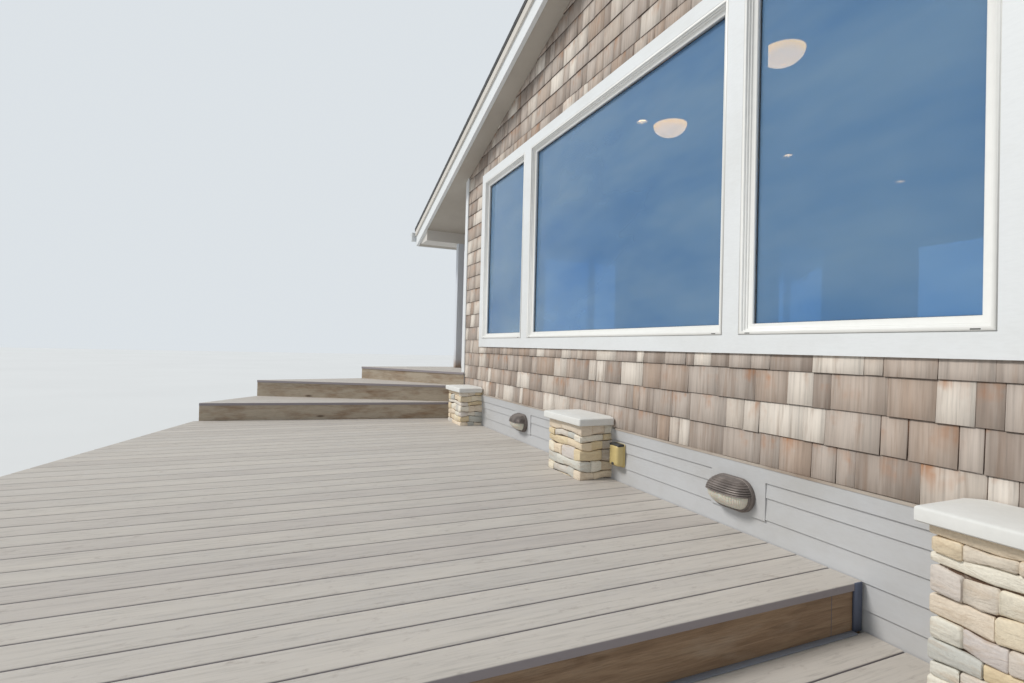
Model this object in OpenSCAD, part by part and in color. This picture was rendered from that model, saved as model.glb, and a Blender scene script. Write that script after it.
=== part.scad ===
// A small single-storey beach house with its stepped sun decks. The front is a
// shingled gable wall with a group of three fixed windows, and the roof runs down
// on both sides over open side porches. All sizes are in millimetres.
// X runs along the front wall, Y runs into the house and Z is up.

/* [Levels] */
// Height of the lower deck above the ground
lower_deck_top = 300; // [200:10:420]
// Rise from the lower deck to the upper deck
deck_rise = 184; // [140:2:200]
// Rise of the first step above the upper deck
first_rise = 188; // [150:2:196]
// Rise of the second step above the first
second_rise = 192; // [150:2:196]
// Rise of the porch above the second step
third_rise = 160; // [150:2:196]
// Height of the house floor above the porch deck
floor_step = 36; // [10:2:120]
// Height of the shingles' lowest edge above the upper deck
shingle_foot = 337; // [240:1:420]

/* [Walls] */
// Width of the gable walls, over the side walls
house_w = 5940; // [5400:10:6600]
// Length of the house, over the front and back walls
house_l = 7320; // [6600:10:9000]
// Thickness of the framed walls with their lining
wall_t = 150; // [110:5:220]
// Height of plain wall between the window casings and the soffit of the side walls
head_gap = 87; // [40:1:400]
// Thickness of the floor deck with its joists
floor_t = 240; // [180:5:320]
// Thickness of the foundation walls
foundation_t = 200; // [150:5:300]
// Exposed height of one shingle course
course_h = 147; // [130:1:165]
// Thickness of a shingle at its butt
shingle_butt = 13; // [8:1:16]
// Thickness of a shingle course at its thin upper edge
shingle_tip = 4; // [3:0.5:6]

/* [Skirt] */
// Height of the flat frieze board under the shingles
frieze_h = 75; // [50:1:120]
// Exposed height of one lap board
lap_h = 100; // [80:1:140]
// Thickness of a lap board at its lower edge
lap_butt = 16; // [12:1:24]
// Thickness of a lap board where the next one covers it
lap_tip = 9; // [6:0.5:11]
// Thickness of the frieze board and the light blocks
frieze_t = 19; // [16:1:25]
// Height of the drip strip over the frieze
drip_h = 10; // [6:1:16]

/* [Windows] */
// Width of the two narrow front windows, over their frames
narrow_w = 1030; // [800:10:1100]
// Width of the wide front window, over its frame
wide_w = 2320; // [1800:10:2400]
// Distance of the wide window's middle to the right of the house's middle
wide_off = 12; // [0:1:20]
// Height of all windows, over their frames
window_h = 1722; // [1400:1:1760]
// Height of the window frames above the floor
sill_h = 362; // [340:1:500]
// Width of the flat casing between two windows
mullion_w = 115; // [90:1:140]
// Width of the flat casing round the windows
casing_w = 89; // [70:1:120]
// Thickness of the casing boards
casing_t = 19; // [16:1:25]
// Width of a window frame from its outer edge to the glass
frame_face = 54; // [40:1:70]
// Distance that a frame stands proud of its casing
frame_proud = 3; // [2:1:30]
// Depth of a window frame behind the face of its casing
frame_deep = 85; // [70:1:110]
// Thickness of a glass pane
glass_t = 10; // [6:1:24]
// Distance of the glass behind the face of the casing
glass_in = 56; // [28:1:64]
// Width of the side and back windows, over their frames
side_window_w = 1200; // [900:10:1300]

/* [Door] */
// Width of the porch door leaf
door_w = 914; // [800:1:1000]
// Height of the porch door leaf
door_h = 2032; // [1950:1:2050]
// Thickness of the porch door leaf
door_t = 45; // [38:1:55]
// Thickness of the door jambs
jamb_t = 32; // [25:1:45]

/* [Roof] */
// Pitch of the roof in degrees
roof_pitch = 17.5; // [15:0.5:22]
// Thickness of the roof from its soffit to its boarding
roof_t = 230; // [180:5:280]
// Thickness of the roof covering
covering_t = 18; // [12:1:30]
// Distance that the covering stands out over the rake boards
covering_out = 24; // [20:1:32]
// Overhang of the roof beyond the gable walls
rake_over = 205; // [150:5:400]
// Clear width of a side porch from the wall to its beam
porch_w = 1180; // [900:10:1500]
// Width of the boxed eave with its beam
eave_box_w = 330; // [200:5:400]
// Distance that the roof runs on past the boxed eave
eave_out = 136; // [20:2:160]
// Depth of the porch beam below the soffit
beam_h = 144; // [100:1:200]
// Height of the black metal edge that turns down over the rake boards
edge_h = 27; // [15:1:40]
// Distance that the rake boards hang below the soffit
barge_hang = 5; // [2:1:80]
// Thickness of the rake boards
barge_t = 38; // [25:1:45]
// Height of the thin shadow board above a rake board
shadow_h = 72; // [50:1:90]
// Thickness of the shadow board in front of the rake board
shadow_t = 19; // [10:1:19]
// Width of the eave gutters
gutter_w = 127; // [100:1:150]
// Depth of the eave gutters
gutter_h = 120; // [90:1:130]
// Distance that a gutter runs on past the rake boards
gutter_past = 60; // [30:5:90]
// Distance of a gutter's lip below the roof's boarding
gutter_drop = 45; // [10:5:60]
// Wall of the gutters
gutter_wall = 4; // [3:1:6]

/* [Porches] */
// Side of a square porch post
post_w = 92; // [80:1:140]
// Number of posts along each porch
post_count = 4; // [3:1:5]
// Distance of the first post behind the front wall's face
post_set = 295; // [200:5:400]
// Thickness of deck boards
board_t = 28; // [22:1:38]
// Distance that deck boards stand out over their risers
nosing = 8; // [4:1:35]
// Thickness of riser and rim boards
riser_t = 38; // [25:1:50]
// Depth of the layer of joists under a deck's boards
joist_h = 140; // [120:5:140]

/* [Decks] */
// Distance of the edge between the decks from the house's centre line
deck_edge_x = 1895; // [1700:5:2050]
// Distance of the lower deck's outer edge inside the porch beam
lower_in = 150; // [0:10:300]
// Distance of the winder steps' turning point inside the house's corner
winder_in = 100; // [60:5:150]
// Length of the first winder step
winder_l1 = 2800; // [2600:10:2850]
// Length of the second winder step
winder_l2 = 2505; // [2350:5:2650]
// Length of the third winder step
winder_l3 = 1745; // [1600:5:1900]
// Angle of the first winder step from the wall's square
winder_a1 = 7.5; // [5:0.5:10]
// Angle of the second winder step from the wall's square
winder_a2 = 26; // [22:1:30]
// Angle of the third winder step from the wall's square
winder_a3 = 56; // [48:1:60]
// Depth of a straight step's tread at the right porch
step_run = 280; // [250:10:320]
// Distance of the deck's slanted front edge in front of the first winder step's tip
deck_lip = 37.5; // [20:0.5:80]
// Angle of the deck's slanted front edge
deck_slant = 17.5; // [10:0.5:20]
// Gap between the decks and the house wall
deck_gap = 3; // [2:1:12]

/* [Piers] */
// Width of a stone pier
pier_w = 420; // [360:5:480]
// Distance that a pier stands out from the wall
pier_d = 225; // [180:5:320]
// Distance of the outer piers' centres inside the house's corners
pier_in = 495; // [460:5:560]
// Height of a pier's stone above the upper deck
pier_rise = 355; // [300:5:420]
// Width that a cap stands over the stone all round
cap_over = 52; // [30:1:70]
// Height of a cap's edge
cap_h = 46; // [35:1:70]
// Rise of a cap's sloped top
cap_slope = 8; // [4:1:14]

/* [Fittings] */
// Length of a bulkhead light
light_l = 300; // [220:5:340]
// Height of a bulkhead light
light_h = 160; // [120:5:166]
// Depth of a bulkhead light in front of its block
light_d = 105; // [80:5:130]
// Distance of a light's centre from the centre of the gap between piers
light_shift = 50; // [0:5:200]
// Number of louvres in a light's hood
louvre_count = 7; // [5:1:9]
// Width of the outlet's cover beside the middle pier
outlet_w = 110; // [90:5:140]
// Height of the outlet's cover
outlet_h = 150; // [120:5:160]
// Depth of the outlet's cover
outlet_d = 60; // [40:5:90]
// Length of a ceiling fan's down-rod
rod_l = 420; // [300:10:600]
// Sweep of a ceiling fan's blades
fan_span = 1067; // [914:1:1150]
// Diameter of a fan's light bowl
bowl_d = 300; // [240:5:360]
// Distance between the two ceiling fans across the room
fan_pitch = 1210; // [1180:10:1500]
// Distance of the ceiling fans behind the front wall's face
fan_in = 1235; // [800:5:2000]
// Diameter of a recessed downlight
can_d = 150; // [120:5:180]

/* [Hidden] */
tiny = 0.01;
half_w = house_w / 2;
slope = tan(roof_pitch);
lean = cos(roof_pitch);
// Levels above the ground
deck_z = lower_deck_top + deck_rise;
step_zs = [deck_z, deck_z + first_rise, deck_z + first_rise + second_rise,
    deck_z + first_rise + second_rise + third_rise];
porch_z = step_zs[3];
floor_z = porch_z + floor_step;
foot_z = deck_z + shingle_foot;
wall_h = max(sill_h + window_h, door_h + jamb_t) + casing_w + head_gap;
corner_z = floor_z + wall_h;
frame_z = floor_z + sill_h;
casing_z = frame_z - casing_w;
casing_top = frame_z + window_h + casing_w;
// Faces of the front wall, counted into the house from the face of the casing
wall_y = casing_t;
wall_in = wall_y + wall_t;
back_y = house_l - wall_y;
// The roof's edges
beam_x = half_w + porch_w;
box_x = beam_x + eave_box_w;
lower_edge_x = beam_x - lower_in;
winder_x = half_w - winder_in;
fascia_t = 19;
drip_out = 3;
roof_x1 = box_x + eave_out;
fascia_x1 = roof_x1 + fascia_t;
roof_y0 = -rake_over;
roof_y1 = house_l + rake_over;
function soffit_z(x) = corner_z + slope * (half_w - abs(x));
ridge_z = soffit_z(0) + (roof_t + covering_t) / lean;
// Underside of the gutters, which hang a little under the covering's edge
gutter_z = soffit_z(fascia_x1) + roof_t / lean - gutter_drop - gutter_h;
swell_cuts = 6;
ridge_t = 10;
ridge_w = 300;
box_z = soffit_z(beam_x) - beam_h;
// The winder steps turn about a point at the wall corner, each by its angle from the
// wall's square and with its length
winders = [[winder_a1, winder_l1], [winder_a2, winder_l2], [winder_a3, winder_l3]];
pivot = [-winder_x, -deck_gap];
function winder_tip(k) = pivot - winders[k][1] * [sin(winders[k][0]), cos(winders[k][0])];
// The slanted front edge of the decks passes just in front of the first winder's tip
function slant_y(x) = winder_tip(0)[1] - deck_lip - tan(deck_slant) * (x - winder_tip(0)[0]);
front_y = slant_y(lower_edge_x + nosing) - nosing;
rear_y = roof_y1 + max(covering_out, gutter_past);
// The row's origin is under the middle of the bounding box
origin_y = (front_y + rear_y) / 2;
// The front windows as centre and width
group_w = 2 * narrow_w + wide_w + 2 * mullion_w;
narrow_x = (group_w - narrow_w) / 2;
front_windows = [[-narrow_x, narrow_w], [wide_off, wide_w], [narrow_x, narrow_w]];
side_windows = [house_l * 0.22, house_l * 0.78];
back_windows = [-house_w * 0.25, house_w * 0.25];
door_y = house_l * 0.5;
opening_w = door_w + 2 * jamb_t;
opening_h = door_h + jamb_t;
door_set = 4;
door_in = 30;
sill_t = 20;
// One frame's steps, from its outer edge to the glass: inset and distance proud
frame_steps = [[0, 0.5], [0.09, 1], [0.34, 0.75], [0.54, 0.45], [0.76, 0.1]];
// Depth of the groove that holds a pane
rebate = 12;
pier_pitch = half_w - pier_in;
pier_xs = [-pier_pitch, 0, pier_pitch];
block_w = light_l + 30;
// Part of the topmost lap that the frieze covers
lap_cut = 0.33;
light_xs = [-pier_pitch / 2 + light_shift, pier_pitch / 2 + light_shift];
light_z = foot_z - frieze_h - light_h / 2 - 6;
// Thickness of a light's base, height of its hood's foot over the middle, inset and
// facets of the shade under the hood
light_base = 22;
hood_foot = 6;
shade_in = 12;
shade_cuts = 8;
block_over = 8;
outlet_gap = 112;
outlet_x = pier_w / 2 + outlet_gap;
fan_xs = [-0.62 * fan_pitch, 0.38 * fan_pitch];
can_x = half_w * 0.5;
can_ys = [for (k = [0:2]) house_l * (0.2 + 0.3 * k)];
can_h = 98;
can_proud = 12;
canopy_d = 130;
canopy_h = 60;
motor_d = 230;
motor_h = 130;
// The foundation stands in from the faces of the house, so that the skirt hides it
foundation_set = 36;
// Clearance of frames, doors and shades in their seats
fit = 0.3;
white = [0.91, 0.92, 0.92];
cedar = [0.62, 0.54, 0.47];
grey_paint = [0.74, 0.74, 0.74];
deck_grey = [0.66, 0.62, 0.57];
riser_wood = [0.5, 0.4, 0.28];
stone = [0.8, 0.74, 0.63];

// Puts the house's own plan on the row's origin
module place() { translate([0, -origin_y, 0]) children(); }

// The same piece on the right and, turned over, on the left
module both_sides() {
    children();
    mirror([1, 0, 0]) children();
}

// A box from its lowest to its highest corner
module block(low, high) { translate(low) cube(high - low); }

// The gable outline of the house in the XZ plane, from a height up to the soffit,
// drawn out along Y between two places
module gable_prism(x, z0, y0, y1) {
    translate([0, y1, 0]) rotate([90, 0, 0]) linear_extrude(y1 - y0)
        polygon([[-x, z0], [x, z0], [x, soffit_z(x)], [0, soffit_z(0)], [-x, soffit_z(x)]]);
}

// Stepped outline of courses, in the plane of depth and height: each course stands
// out most at its foot and thins towards the foot of the next one
function course_points(count, pitch, butt, tip) =
    [for (k = [0:count - 1]) each [[-butt, k * pitch], [-tip, (k + 1) * pitch]]];

// A clad face along X, with its back at depth 0
module clad(x0, x1, z0, count, pitch, butt, tip) {
    translate([x0, 0, z0]) rotate([90, 0, 90]) linear_extrude(x1 - x0)
        polygon(concat([[0, 0]], course_points(count, pitch, butt, tip), [[0, count * pitch]]));
}

/* Foundation and floor */
module foundation() {
    color("gray") place() {
        x1 = half_w - foundation_set;
        z1 = floor_z - floor_t;
        difference() {
            block([-x1, wall_y, 0], [x1, back_y, z1]);
            block([-x1 + foundation_t, wall_y + foundation_t, -1],
                [x1 - foundation_t, back_y - foundation_t, z1 + 1]);
        }
    }
}

module house_floor() {
    color("peru") place()
        block([-half_w + casing_t, wall_y, floor_z - floor_t], [half_w - casing_t, back_y, floor_z]);
}

/* Walls */
// Openings through the front wall for the frames
module front_holes(y0, y1) {
    for (w = front_windows)
        block([w[0] - w[1] / 2, y0, frame_z], [w[0] + w[1] / 2, y1, frame_z + window_h]);
}

module back_holes(y0, y1) {
    for (x = back_windows)
        block([x - side_window_w / 2, y0, frame_z], [x + side_window_w / 2, y1, frame_z + window_h]);
}

// Window openings of a side wall between two distances from the centre line
module side_holes(x0, x1) {
    for (y = side_windows)
        block([x0, y - side_window_w / 2, frame_z], [x1, y + side_window_w / 2, frame_z + window_h]);
}

module door_hole(x0, x1) {
    block([x0, door_y - opening_w / 2, floor_z], [x1, door_y + opening_w / 2, floor_z + opening_h]);
}

module front_wall() {
    color("tan") place() difference() {
        gable_prism(half_w - casing_t, floor_z, wall_y, wall_in);
        front_holes(0, wall_in + 1);
    }
}

module back_wall() {
    color("tan") place() difference() {
        gable_prism(half_w - casing_t, floor_z, back_y - wall_t, back_y);
        back_holes(back_y - wall_t - 1, back_y + 1);
    }
}

// A side wall between the gable walls, cut to the roof's slope at its top
module side_wall() {
    x1 = half_w - casing_t;
    x0 = x1 - wall_t;
    translate([0, back_y - wall_t, 0]) rotate([90, 0, 0]) linear_extrude(back_y - wall_t - wall_in)
        polygon([[x0, floor_z], [x1, floor_z], [x1, soffit_z(x1)], [x0, soffit_z(x0)]]);
}

module right_wall() {
    color("tan") place() difference() {
        side_wall();
        side_holes(0, half_w + 1);
    }
}

module left_wall() {
    color("tan") place() mirror([1, 0, 0]) difference() {
        side_wall();
        side_holes(0, half_w + 1);
        door_hole(0, half_w + 1);
    }
}

/* Shingles */
module front_shingles() {
    count = ceil((soffit_z(0) - foot_z) / course_h);
    color(cedar) place() difference() {
        intersection() {
            translate([0, wall_y, 0]) clad(-half_w + casing_t, half_w - casing_t, foot_z, count, course_h,
                shingle_butt, shingle_tip);
            gable_prism(half_w - casing_t, foot_z, -wall_y, wall_y);
        }
        block([-group_w / 2 - casing_w, -wall_y, casing_z],
            [group_w / 2 + casing_w, wall_y + 1, casing_top]);
        both_sides() block([half_w - casing_w, -wall_y, 0], [half_w, wall_y + 1, ridge_z]);
    }
}

module back_shingles() {
    count = ceil((soffit_z(0) - foot_z) / course_h);
    color(cedar) place() difference() {
        intersection() {
            translate([0, back_y, 0]) mirror([0, 1, 0]) clad(-half_w + casing_t, half_w - casing_t, foot_z,
                count, course_h, shingle_butt, shingle_tip);
            gable_prism(half_w - casing_t, foot_z, back_y, back_y + wall_y);
        }
        for (x = back_windows)
            block([x - side_window_w / 2 - casing_w, back_y - 1, casing_z],
                [x + side_window_w / 2 + casing_w, back_y + wall_y, casing_top]);
        both_sides() block([half_w - casing_w, back_y - 1, 0], [half_w, back_y + wall_y, ridge_z]);
    }
}

// Shingles of the right side wall, above the porch deck
module side_skin() {
    z1 = soffit_z(half_w);
    count = ceil((z1 - porch_z) / course_h);
    difference() {
        intersection() {
            translate([half_w - casing_t, 0, 0]) rotate([0, 0, 90])
                clad(0, house_l, porch_z, count, course_h, shingle_butt, shingle_tip);
            block([half_w - casing_t, wall_y + casing_w, porch_z], [half_w, back_y - casing_w, z1]);
        }
        for (y = side_windows)
            block([half_w - wall_t, y - side_window_w / 2 - casing_w, casing_z],
                [half_w + 1, y + side_window_w / 2 + casing_w, casing_top]);
        children();
    }
}

module side_shingles() {
    color(cedar) place() {
        side_skin();
        mirror([1, 0, 0]) side_skin()
            block([half_w - wall_t, door_y - opening_w / 2 - casing_w, 0],
                [half_w + 1, door_y + opening_w / 2 + casing_w, floor_z + opening_h + casing_w]);
    }
}

// Corner boards: a board on each face of each corner
module corner_boards() {
    color(white) place() both_sides() {
        for (y = [0, back_y]) intersection() {
            block([half_w - casing_w, y, foot_z], [half_w, y + casing_t, ridge_z]);
            gable_prism(half_w, foot_z, -wall_y, house_l);
        }
        for (y = [wall_y, back_y - casing_w])
            block([half_w - casing_t, y, porch_z], [half_w, y + casing_w, corner_z]);
    }
}

/* Skirt */
// Lap boards from the ground up to the frieze, along X and with the back at depth 0
module lap_skirt(x0, x1) {
    laps = ceil((foot_z - frieze_h) / lap_h);
    z0 = foot_z - frieze_h - (laps - lap_cut) * lap_h;
    intersection() {
        clad(x0, x1, z0, laps, lap_h, lap_butt, lap_tip);
        block([x0, -lap_butt - 1, 0], [x1, 1, foot_z - frieze_h]);
    }
}

module front_skirt() {
    z1 = foot_z - drip_h;
    color(grey_paint) place() difference() {
        union() {
            translate([0, wall_y, 0]) lap_skirt(-half_w, half_w);
            block([-half_w, wall_y - frieze_t, foot_z - frieze_h - tiny], [half_w, wall_y, z1]);
            for (x = light_xs)
                block([x - block_w / 2, wall_y - frieze_t, light_z - light_h / 2 - block_over],
                    [x + block_w / 2, wall_y, foot_z - frieze_h]);
        }
        for (x = pier_xs)
            block([x - pier_w / 2, -frieze_t - 1, 0], [x + pier_w / 2, wall_y + 1, deck_z + pier_rise]);
        for (x = pier_xs)
            block([x - pier_w / 2 - cap_over, -frieze_t - 1, deck_z + pier_rise],
                [x + pier_w / 2 + cap_over, wall_y + 1, foot_z + 1]);
    }
}

module back_skirt() {
    z1 = foot_z - drip_h;
    color(grey_paint) place() translate([0, back_y, 0]) mirror([0, 1, 0]) {
        lap_skirt(-half_w, half_w);
        block([-half_w, -frieze_t, foot_z - frieze_h - tiny], [half_w, 0, z1]);
    }
}

module drip_strips() {
    z0 = foot_z - drip_h;
    d = frieze_t + drip_out;
    color("tan") place() {
        difference() {
            block([-half_w, wall_y - d, z0], [half_w, wall_y, foot_z]);
            for (x = pier_xs)
                block([x - pier_w / 2 - cap_over, -d, z0 - 1],
                    [x + pier_w / 2 + cap_over, wall_y + 1, foot_z + 1]);
        }
        block([-half_w, back_y, z0], [half_w, back_y + d, foot_z]);
    }
}

/* Windows */
// A flat casing with holes for its windows, centred on x = 0 and with its face at y = 0
module casing_board(width, windows) {
    difference() {
        block([-width / 2 - casing_w, 0, casing_z], [width / 2 + casing_w, casing_t, casing_top]);
        for (w = windows)
            block([w[0] - w[1] / 2, -1, frame_z], [w[0] + w[1] / 2, casing_t + 1, frame_z + window_h]);
    }
}

// A stepped window frame: each step is set further in and stands less proud, and
// the daylight is cut through, with a wider rebate behind that the pane sits in
module window_frame(width) {
    w = width - 2 * fit;
    h = window_h - 2 * fit;
    z0 = frame_z + fit;
    difference() {
        union() for (s = frame_steps) {
            inset = s[0] * frame_face;
            block([-w / 2 + inset, -s[1] * frame_proud, z0 + inset],
                [w / 2 - inset, frame_deep, z0 + h - inset]);
        }
        block([-w / 2 + frame_face, -frame_proud - 1, z0 + frame_face],
            [w / 2 - frame_face, frame_deep + 1, z0 + h - frame_face]);
        block([-w / 2 + frame_face - rebate, glass_in, z0 + frame_face - rebate],
            [w / 2 - frame_face + rebate, glass_in + glass_t, z0 + h - frame_face + rebate]);
    }
}

// The pane of a window frame of the same width
module pane(width) {
    out = rebate - 2 * fit;
    w = width - 2 * frame_face + 2 * out;
    h = window_h - 2 * frame_face + 2 * out;
    z0 = frame_z + frame_face - out;
    block([-w / 2, glass_in, z0], [w / 2, glass_in + glass_t, z0 + h]);
}

module front_casing() { color(white) place() casing_board(group_w, front_windows); }
module front_frames() {
    color(white) place() for (w = front_windows) translate([w[0], 0, 0]) window_frame(w[1]);
}
module front_glass() {
    color("lightblue", 0.4) place() for (w = front_windows) translate([w[0], 0, 0]) pane(w[1]);
}

// Puts a window made for the front at a place on the back wall
module on_back(x) { translate([x, house_l, 0]) mirror([0, 1, 0]) children(); }
// Puts a window made for the front at a place on the right side wall
module on_right(y) { translate([half_w, y, 0]) rotate([0, 0, 90]) children(); }

// The same window piece at each side and back window
module at_house_windows() {
    for (x = back_windows) on_back(x) children();
    both_sides() for (y = side_windows) on_right(y) children();
}

module house_casings() {
    color(white) place() {
        at_house_windows() casing_board(side_window_w, [[0, side_window_w]]);
        mirror([1, 0, 0]) difference() {
            block([half_w - casing_t, door_y - opening_w / 2 - casing_w, porch_z],
                [half_w, door_y + opening_w / 2 + casing_w, floor_z + opening_h + casing_w]);
            block([half_w - casing_t - 1, door_y - opening_w / 2, porch_z - 1],
                [half_w + 1, door_y + opening_w / 2, floor_z + opening_h]);
        }
    }
}

module house_frames() { color(white) place() at_house_windows() window_frame(side_window_w); }

module house_glass() { color("lightblue", 0.4) place() at_house_windows() pane(side_window_w); }

/* Porch door */
// The frame has a sill that closes the step down to the porch
module door_frame() {
    x0 = half_w - casing_t - wall_t;
    color(white) place() mirror([1, 0, 0]) {
        difference() {
            block([x0, door_y - opening_w / 2 + fit, floor_z + fit],
                [half_w - door_set, door_y + opening_w / 2 - fit, floor_z + opening_h - fit]);
            block([x0 - 1, door_y - door_w / 2, floor_z + sill_t],
                [half_w + 1, door_y + door_w / 2, floor_z + door_h]);
        }
        block([half_w - casing_t + fit, door_y - opening_w / 2 + fit, porch_z],
            [half_w - door_set, door_y + opening_w / 2 - fit, floor_z + sill_t]);
    }
}

// The leaf has one sunk panel on each face
module porch_door() {
    rail = 120;
    sunk = 6;
    x1 = half_w - casing_t - door_in;
    color("whitesmoke") place() mirror([1, 0, 0]) difference() {
        block([x1 - door_t, door_y - door_w / 2 + fit, floor_z + sill_t + fit],
            [x1, door_y + door_w / 2 - fit, floor_z + door_h - fit]);
        for (x = [x1 - sunk, x1 - door_t - sunk])
            block([x, door_y - door_w / 2 + rail, floor_z + 2 * rail],
                [x + 2 * sunk, door_y + door_w / 2 - rail, floor_z + door_h - rail]);
    }
}

/* Roof */
// One side of the roof as a sloping slab between two heights over the soffit,
// from the ridge out to a distance from the centre line
module roof_slab(t0, t1, x1, y0, y1) {
    translate([0, y1, 0]) rotate([90, 0, 0]) linear_extrude(y1 - y0)
        polygon([[0, soffit_z(0) + t0 / lean], [x1, soffit_z(x1) + t0 / lean],
            [x1, soffit_z(x1) + t1 / lean], [0, soffit_z(0) + t1 / lean]]);
}

// One roof slope, cut plumb at the eave, with the seats of its downlights
module roof_side() {
    difference() {
        roof_slab(0, roof_t, roof_x1, roof_y0 + barge_t, roof_y1 - barge_t);
        for (y = can_ys) translate([can_x, y, soffit_z(can_x) - can_h])
            cylinder(h = 2 * can_h - can_proud + fit, d = can_d + 2 * fit, $fn = 48);
    }
}

module roof_right() { color("antiquewhite") place() roof_side(); }
module roof_left() { color("antiquewhite") place() mirror([1, 0, 0]) roof_side(); }

// A sloping pair of slabs, on both sides of the ridge, between two heights over the soffit
module slope_pair(t0, t1, x1, y0, y1) {
    union() both_sides() roof_slab(t0, t1, x1, y0, y1);
}

// The covering, with the metal edges that turn down over the rake boards
module roof_covering() {
    x1 = fascia_x1 + drip_out;
    y0 = roof_y0 - covering_out;
    y1 = roof_y1 + covering_out;
    color([0.17, 0.17, 0.17]) place() {
        slope_pair(roof_t, roof_t + covering_t, x1, y0, y1);
        slope_pair(roof_t - edge_h, roof_t + tiny, fascia_x1, y0, roof_y0);
        slope_pair(roof_t - edge_h, roof_t + tiny, fascia_x1, roof_y1, y1);
    }
}

module ridge_cap() {
    t = roof_t + covering_t;
    color([0.15, 0.15, 0.15]) place()
        slope_pair(t, t + ridge_t, ridge_w / 2, roof_y0 - covering_out, roof_y1 + covering_out);
}

module rake_boards() {
    color(white) place() {
        slope_pair(-barge_hang, roof_t, roof_x1, roof_y0, roof_y0 + barge_t);
        slope_pair(-barge_hang, roof_t, roof_x1, roof_y1 - barge_t, roof_y1);
    }
}

module shadow_boards() {
    t1 = roof_t - edge_h;
    color(white) place() {
        slope_pair(t1 - shadow_h, t1, roof_x1, roof_y0 - shadow_t, roof_y0);
        slope_pair(t1 - shadow_h, t1, roof_x1, roof_y1, roof_y1 + shadow_t);
    }
}

// The boxed eave: its inner board is the porch beam that the posts carry
module eave_beams() {
    y0 = roof_y0 + barge_t;
    y1 = roof_y1 - barge_t;
    color("gainsboro") place() both_sides() translate([0, y1, 0]) rotate([90, 0, 0])
        linear_extrude(y1 - y0)
            polygon([[beam_x, box_z], [box_x, box_z], [box_x, soffit_z(box_x)],
                [beam_x, soffit_z(beam_x)]]);
}

module eave_fascias() {
    z0 = soffit_z(roof_x1);
    color(white) place() both_sides()
        block([roof_x1, roof_y0, z0 - barge_hang],
            [fascia_x1, roof_y1, z0 + roof_t / lean - fascia_t * slope]);
}

// Outline of a gutter in the plane of distance from its back and height over its
// floor: upright back, flat floor, and a front that swells out to a rolled lip.
// An inset gives the same outline further in, for its hollow
function gutter_points(t) = let (w = gutter_w, h = gutter_h) concat(
    [[t, t > 0 ? h + 1 : h], [t, t], [0.55 * w - t / 2, t], [0.62 * w - t, 0.3 * h]],
    [for (k = [0:swell_cuts]) let (a = 90 * k / swell_cuts)
        [0.62 * w + 0.3 * w * (1 - cos(a)) - t, 0.3 * h + 0.48 * h * sin(a)]],
    [[w - t, 0.86 * h], [w - t, t > 0 ? h + 1 : h]]);

module gutter_bar(t, y0, y1) {
    translate([fascia_x1, y1, gutter_z]) rotate([90, 0, 0])
        linear_extrude(y1 - y0) polygon(gutter_points(t));
}

module gutters() {
    color("gainsboro") place() both_sides() difference() {
        gutter_bar(0, roof_y0 - gutter_past, roof_y1 + gutter_past);
        gutter_bar(gutter_wall, roof_y0 - gutter_past + gutter_wall, roof_y1 + gutter_past - gutter_wall);
    }
}

/* Porches */
module porch_posts() {
    run = house_l - 2 * post_set - post_w;
    color(white) place() both_sides() for (k = [0:post_count - 1]) {
        y = post_set + run * k / (post_count - 1);
        block([beam_x, y, porch_z], [beam_x + post_w, y + post_w, box_z]);
    }
}

module porch_decks() {
    color(deck_grey) place() both_sides()
        block([half_w + deck_gap, 0, porch_z - board_t], [box_x, house_l, porch_z]);
}

module porch_frames() {
    color(grey_paint) place() both_sides() {
        z1 = porch_z - board_t;
        block([half_w + deck_gap, 0, 0], [half_w + deck_gap + riser_t, house_l, z1]);
        block([box_x - nosing - riser_t, 0, 0], [box_x - nosing, house_l, z1]);
        for (y = [0, house_l - riser_t])
            block([half_w + deck_gap + riser_t, y, 0], [box_x - nosing - riser_t, y + riser_t, z1]);
    }
}

/* Steps */
// The plan of what lies behind winder k's edge, with the edge moved out by a nosing
module winder_plan(k, out) {
    shift = out * [cos(winders[k][0]), -sin(winders[k][0])];
    polygon(concat([pivot, pivot + shift, winder_tip(k) + shift],
        [for (n = [k:2]) winder_tip(n)], [[-box_x, -deck_gap]]));
}

// The straight steps up to the right porch: tier k of three
module straight_plan(k, out) {
    translate([half_w + nosing, -deck_gap - (3 - k) * step_run - out])
        square([lower_edge_x - half_w - nosing, (3 - k) * step_run + out]);
}

module step_treads() {
    color(deck_grey) place() for (k = [0:2]) {
        translate([0, 0, step_zs[k + 1] - board_t]) linear_extrude(board_t) winder_plan(k, nosing);
        translate([0, 0, step_zs[k] - board_t]) linear_extrude(board_t) straight_plan(k, nosing);
    }
}

// A ring of riser boards that follows a plan
module riser_ring(z0, z1) {
    translate([0, 0, z0]) linear_extrude(z1 - z0) difference() {
        children();
        offset(delta = -riser_t) children();
    }
}

module step_risers() {
    color(riser_wood) place() for (k = [0:2]) {
        riser_ring(k == 0 ? 0 : step_zs[k], step_zs[k + 1] - board_t) winder_plan(k, 0);
        riser_ring(k == 0 ? lower_deck_top : step_zs[k - 1], step_zs[k] - board_t) straight_plan(k, 0);
    }
}

/* Decks */
module upper_plan(out) {
    x1 = deck_edge_x + out;
    tip = winder_tip(0);
    polygon([pivot, [x1, -deck_gap], [x1, slant_y(x1) - out], [tip[0], slant_y(tip[0]) - out], tip]);
}

module lower_plan(out) {
    x0 = deck_edge_x;
    x1 = lower_edge_x + out;
    polygon([[x0, -deck_gap], [x1, -deck_gap], [x1, slant_y(x1) - out], [x0, slant_y(x0) - out]]);
}

module clear_of_piers() {
    difference() {
        children();
        for (x = pier_xs)
            block([x - pier_w / 2 - 1, -pier_d - 1, -1], [x + pier_w / 2 + 1, 0, porch_z]);
    }
}

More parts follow.
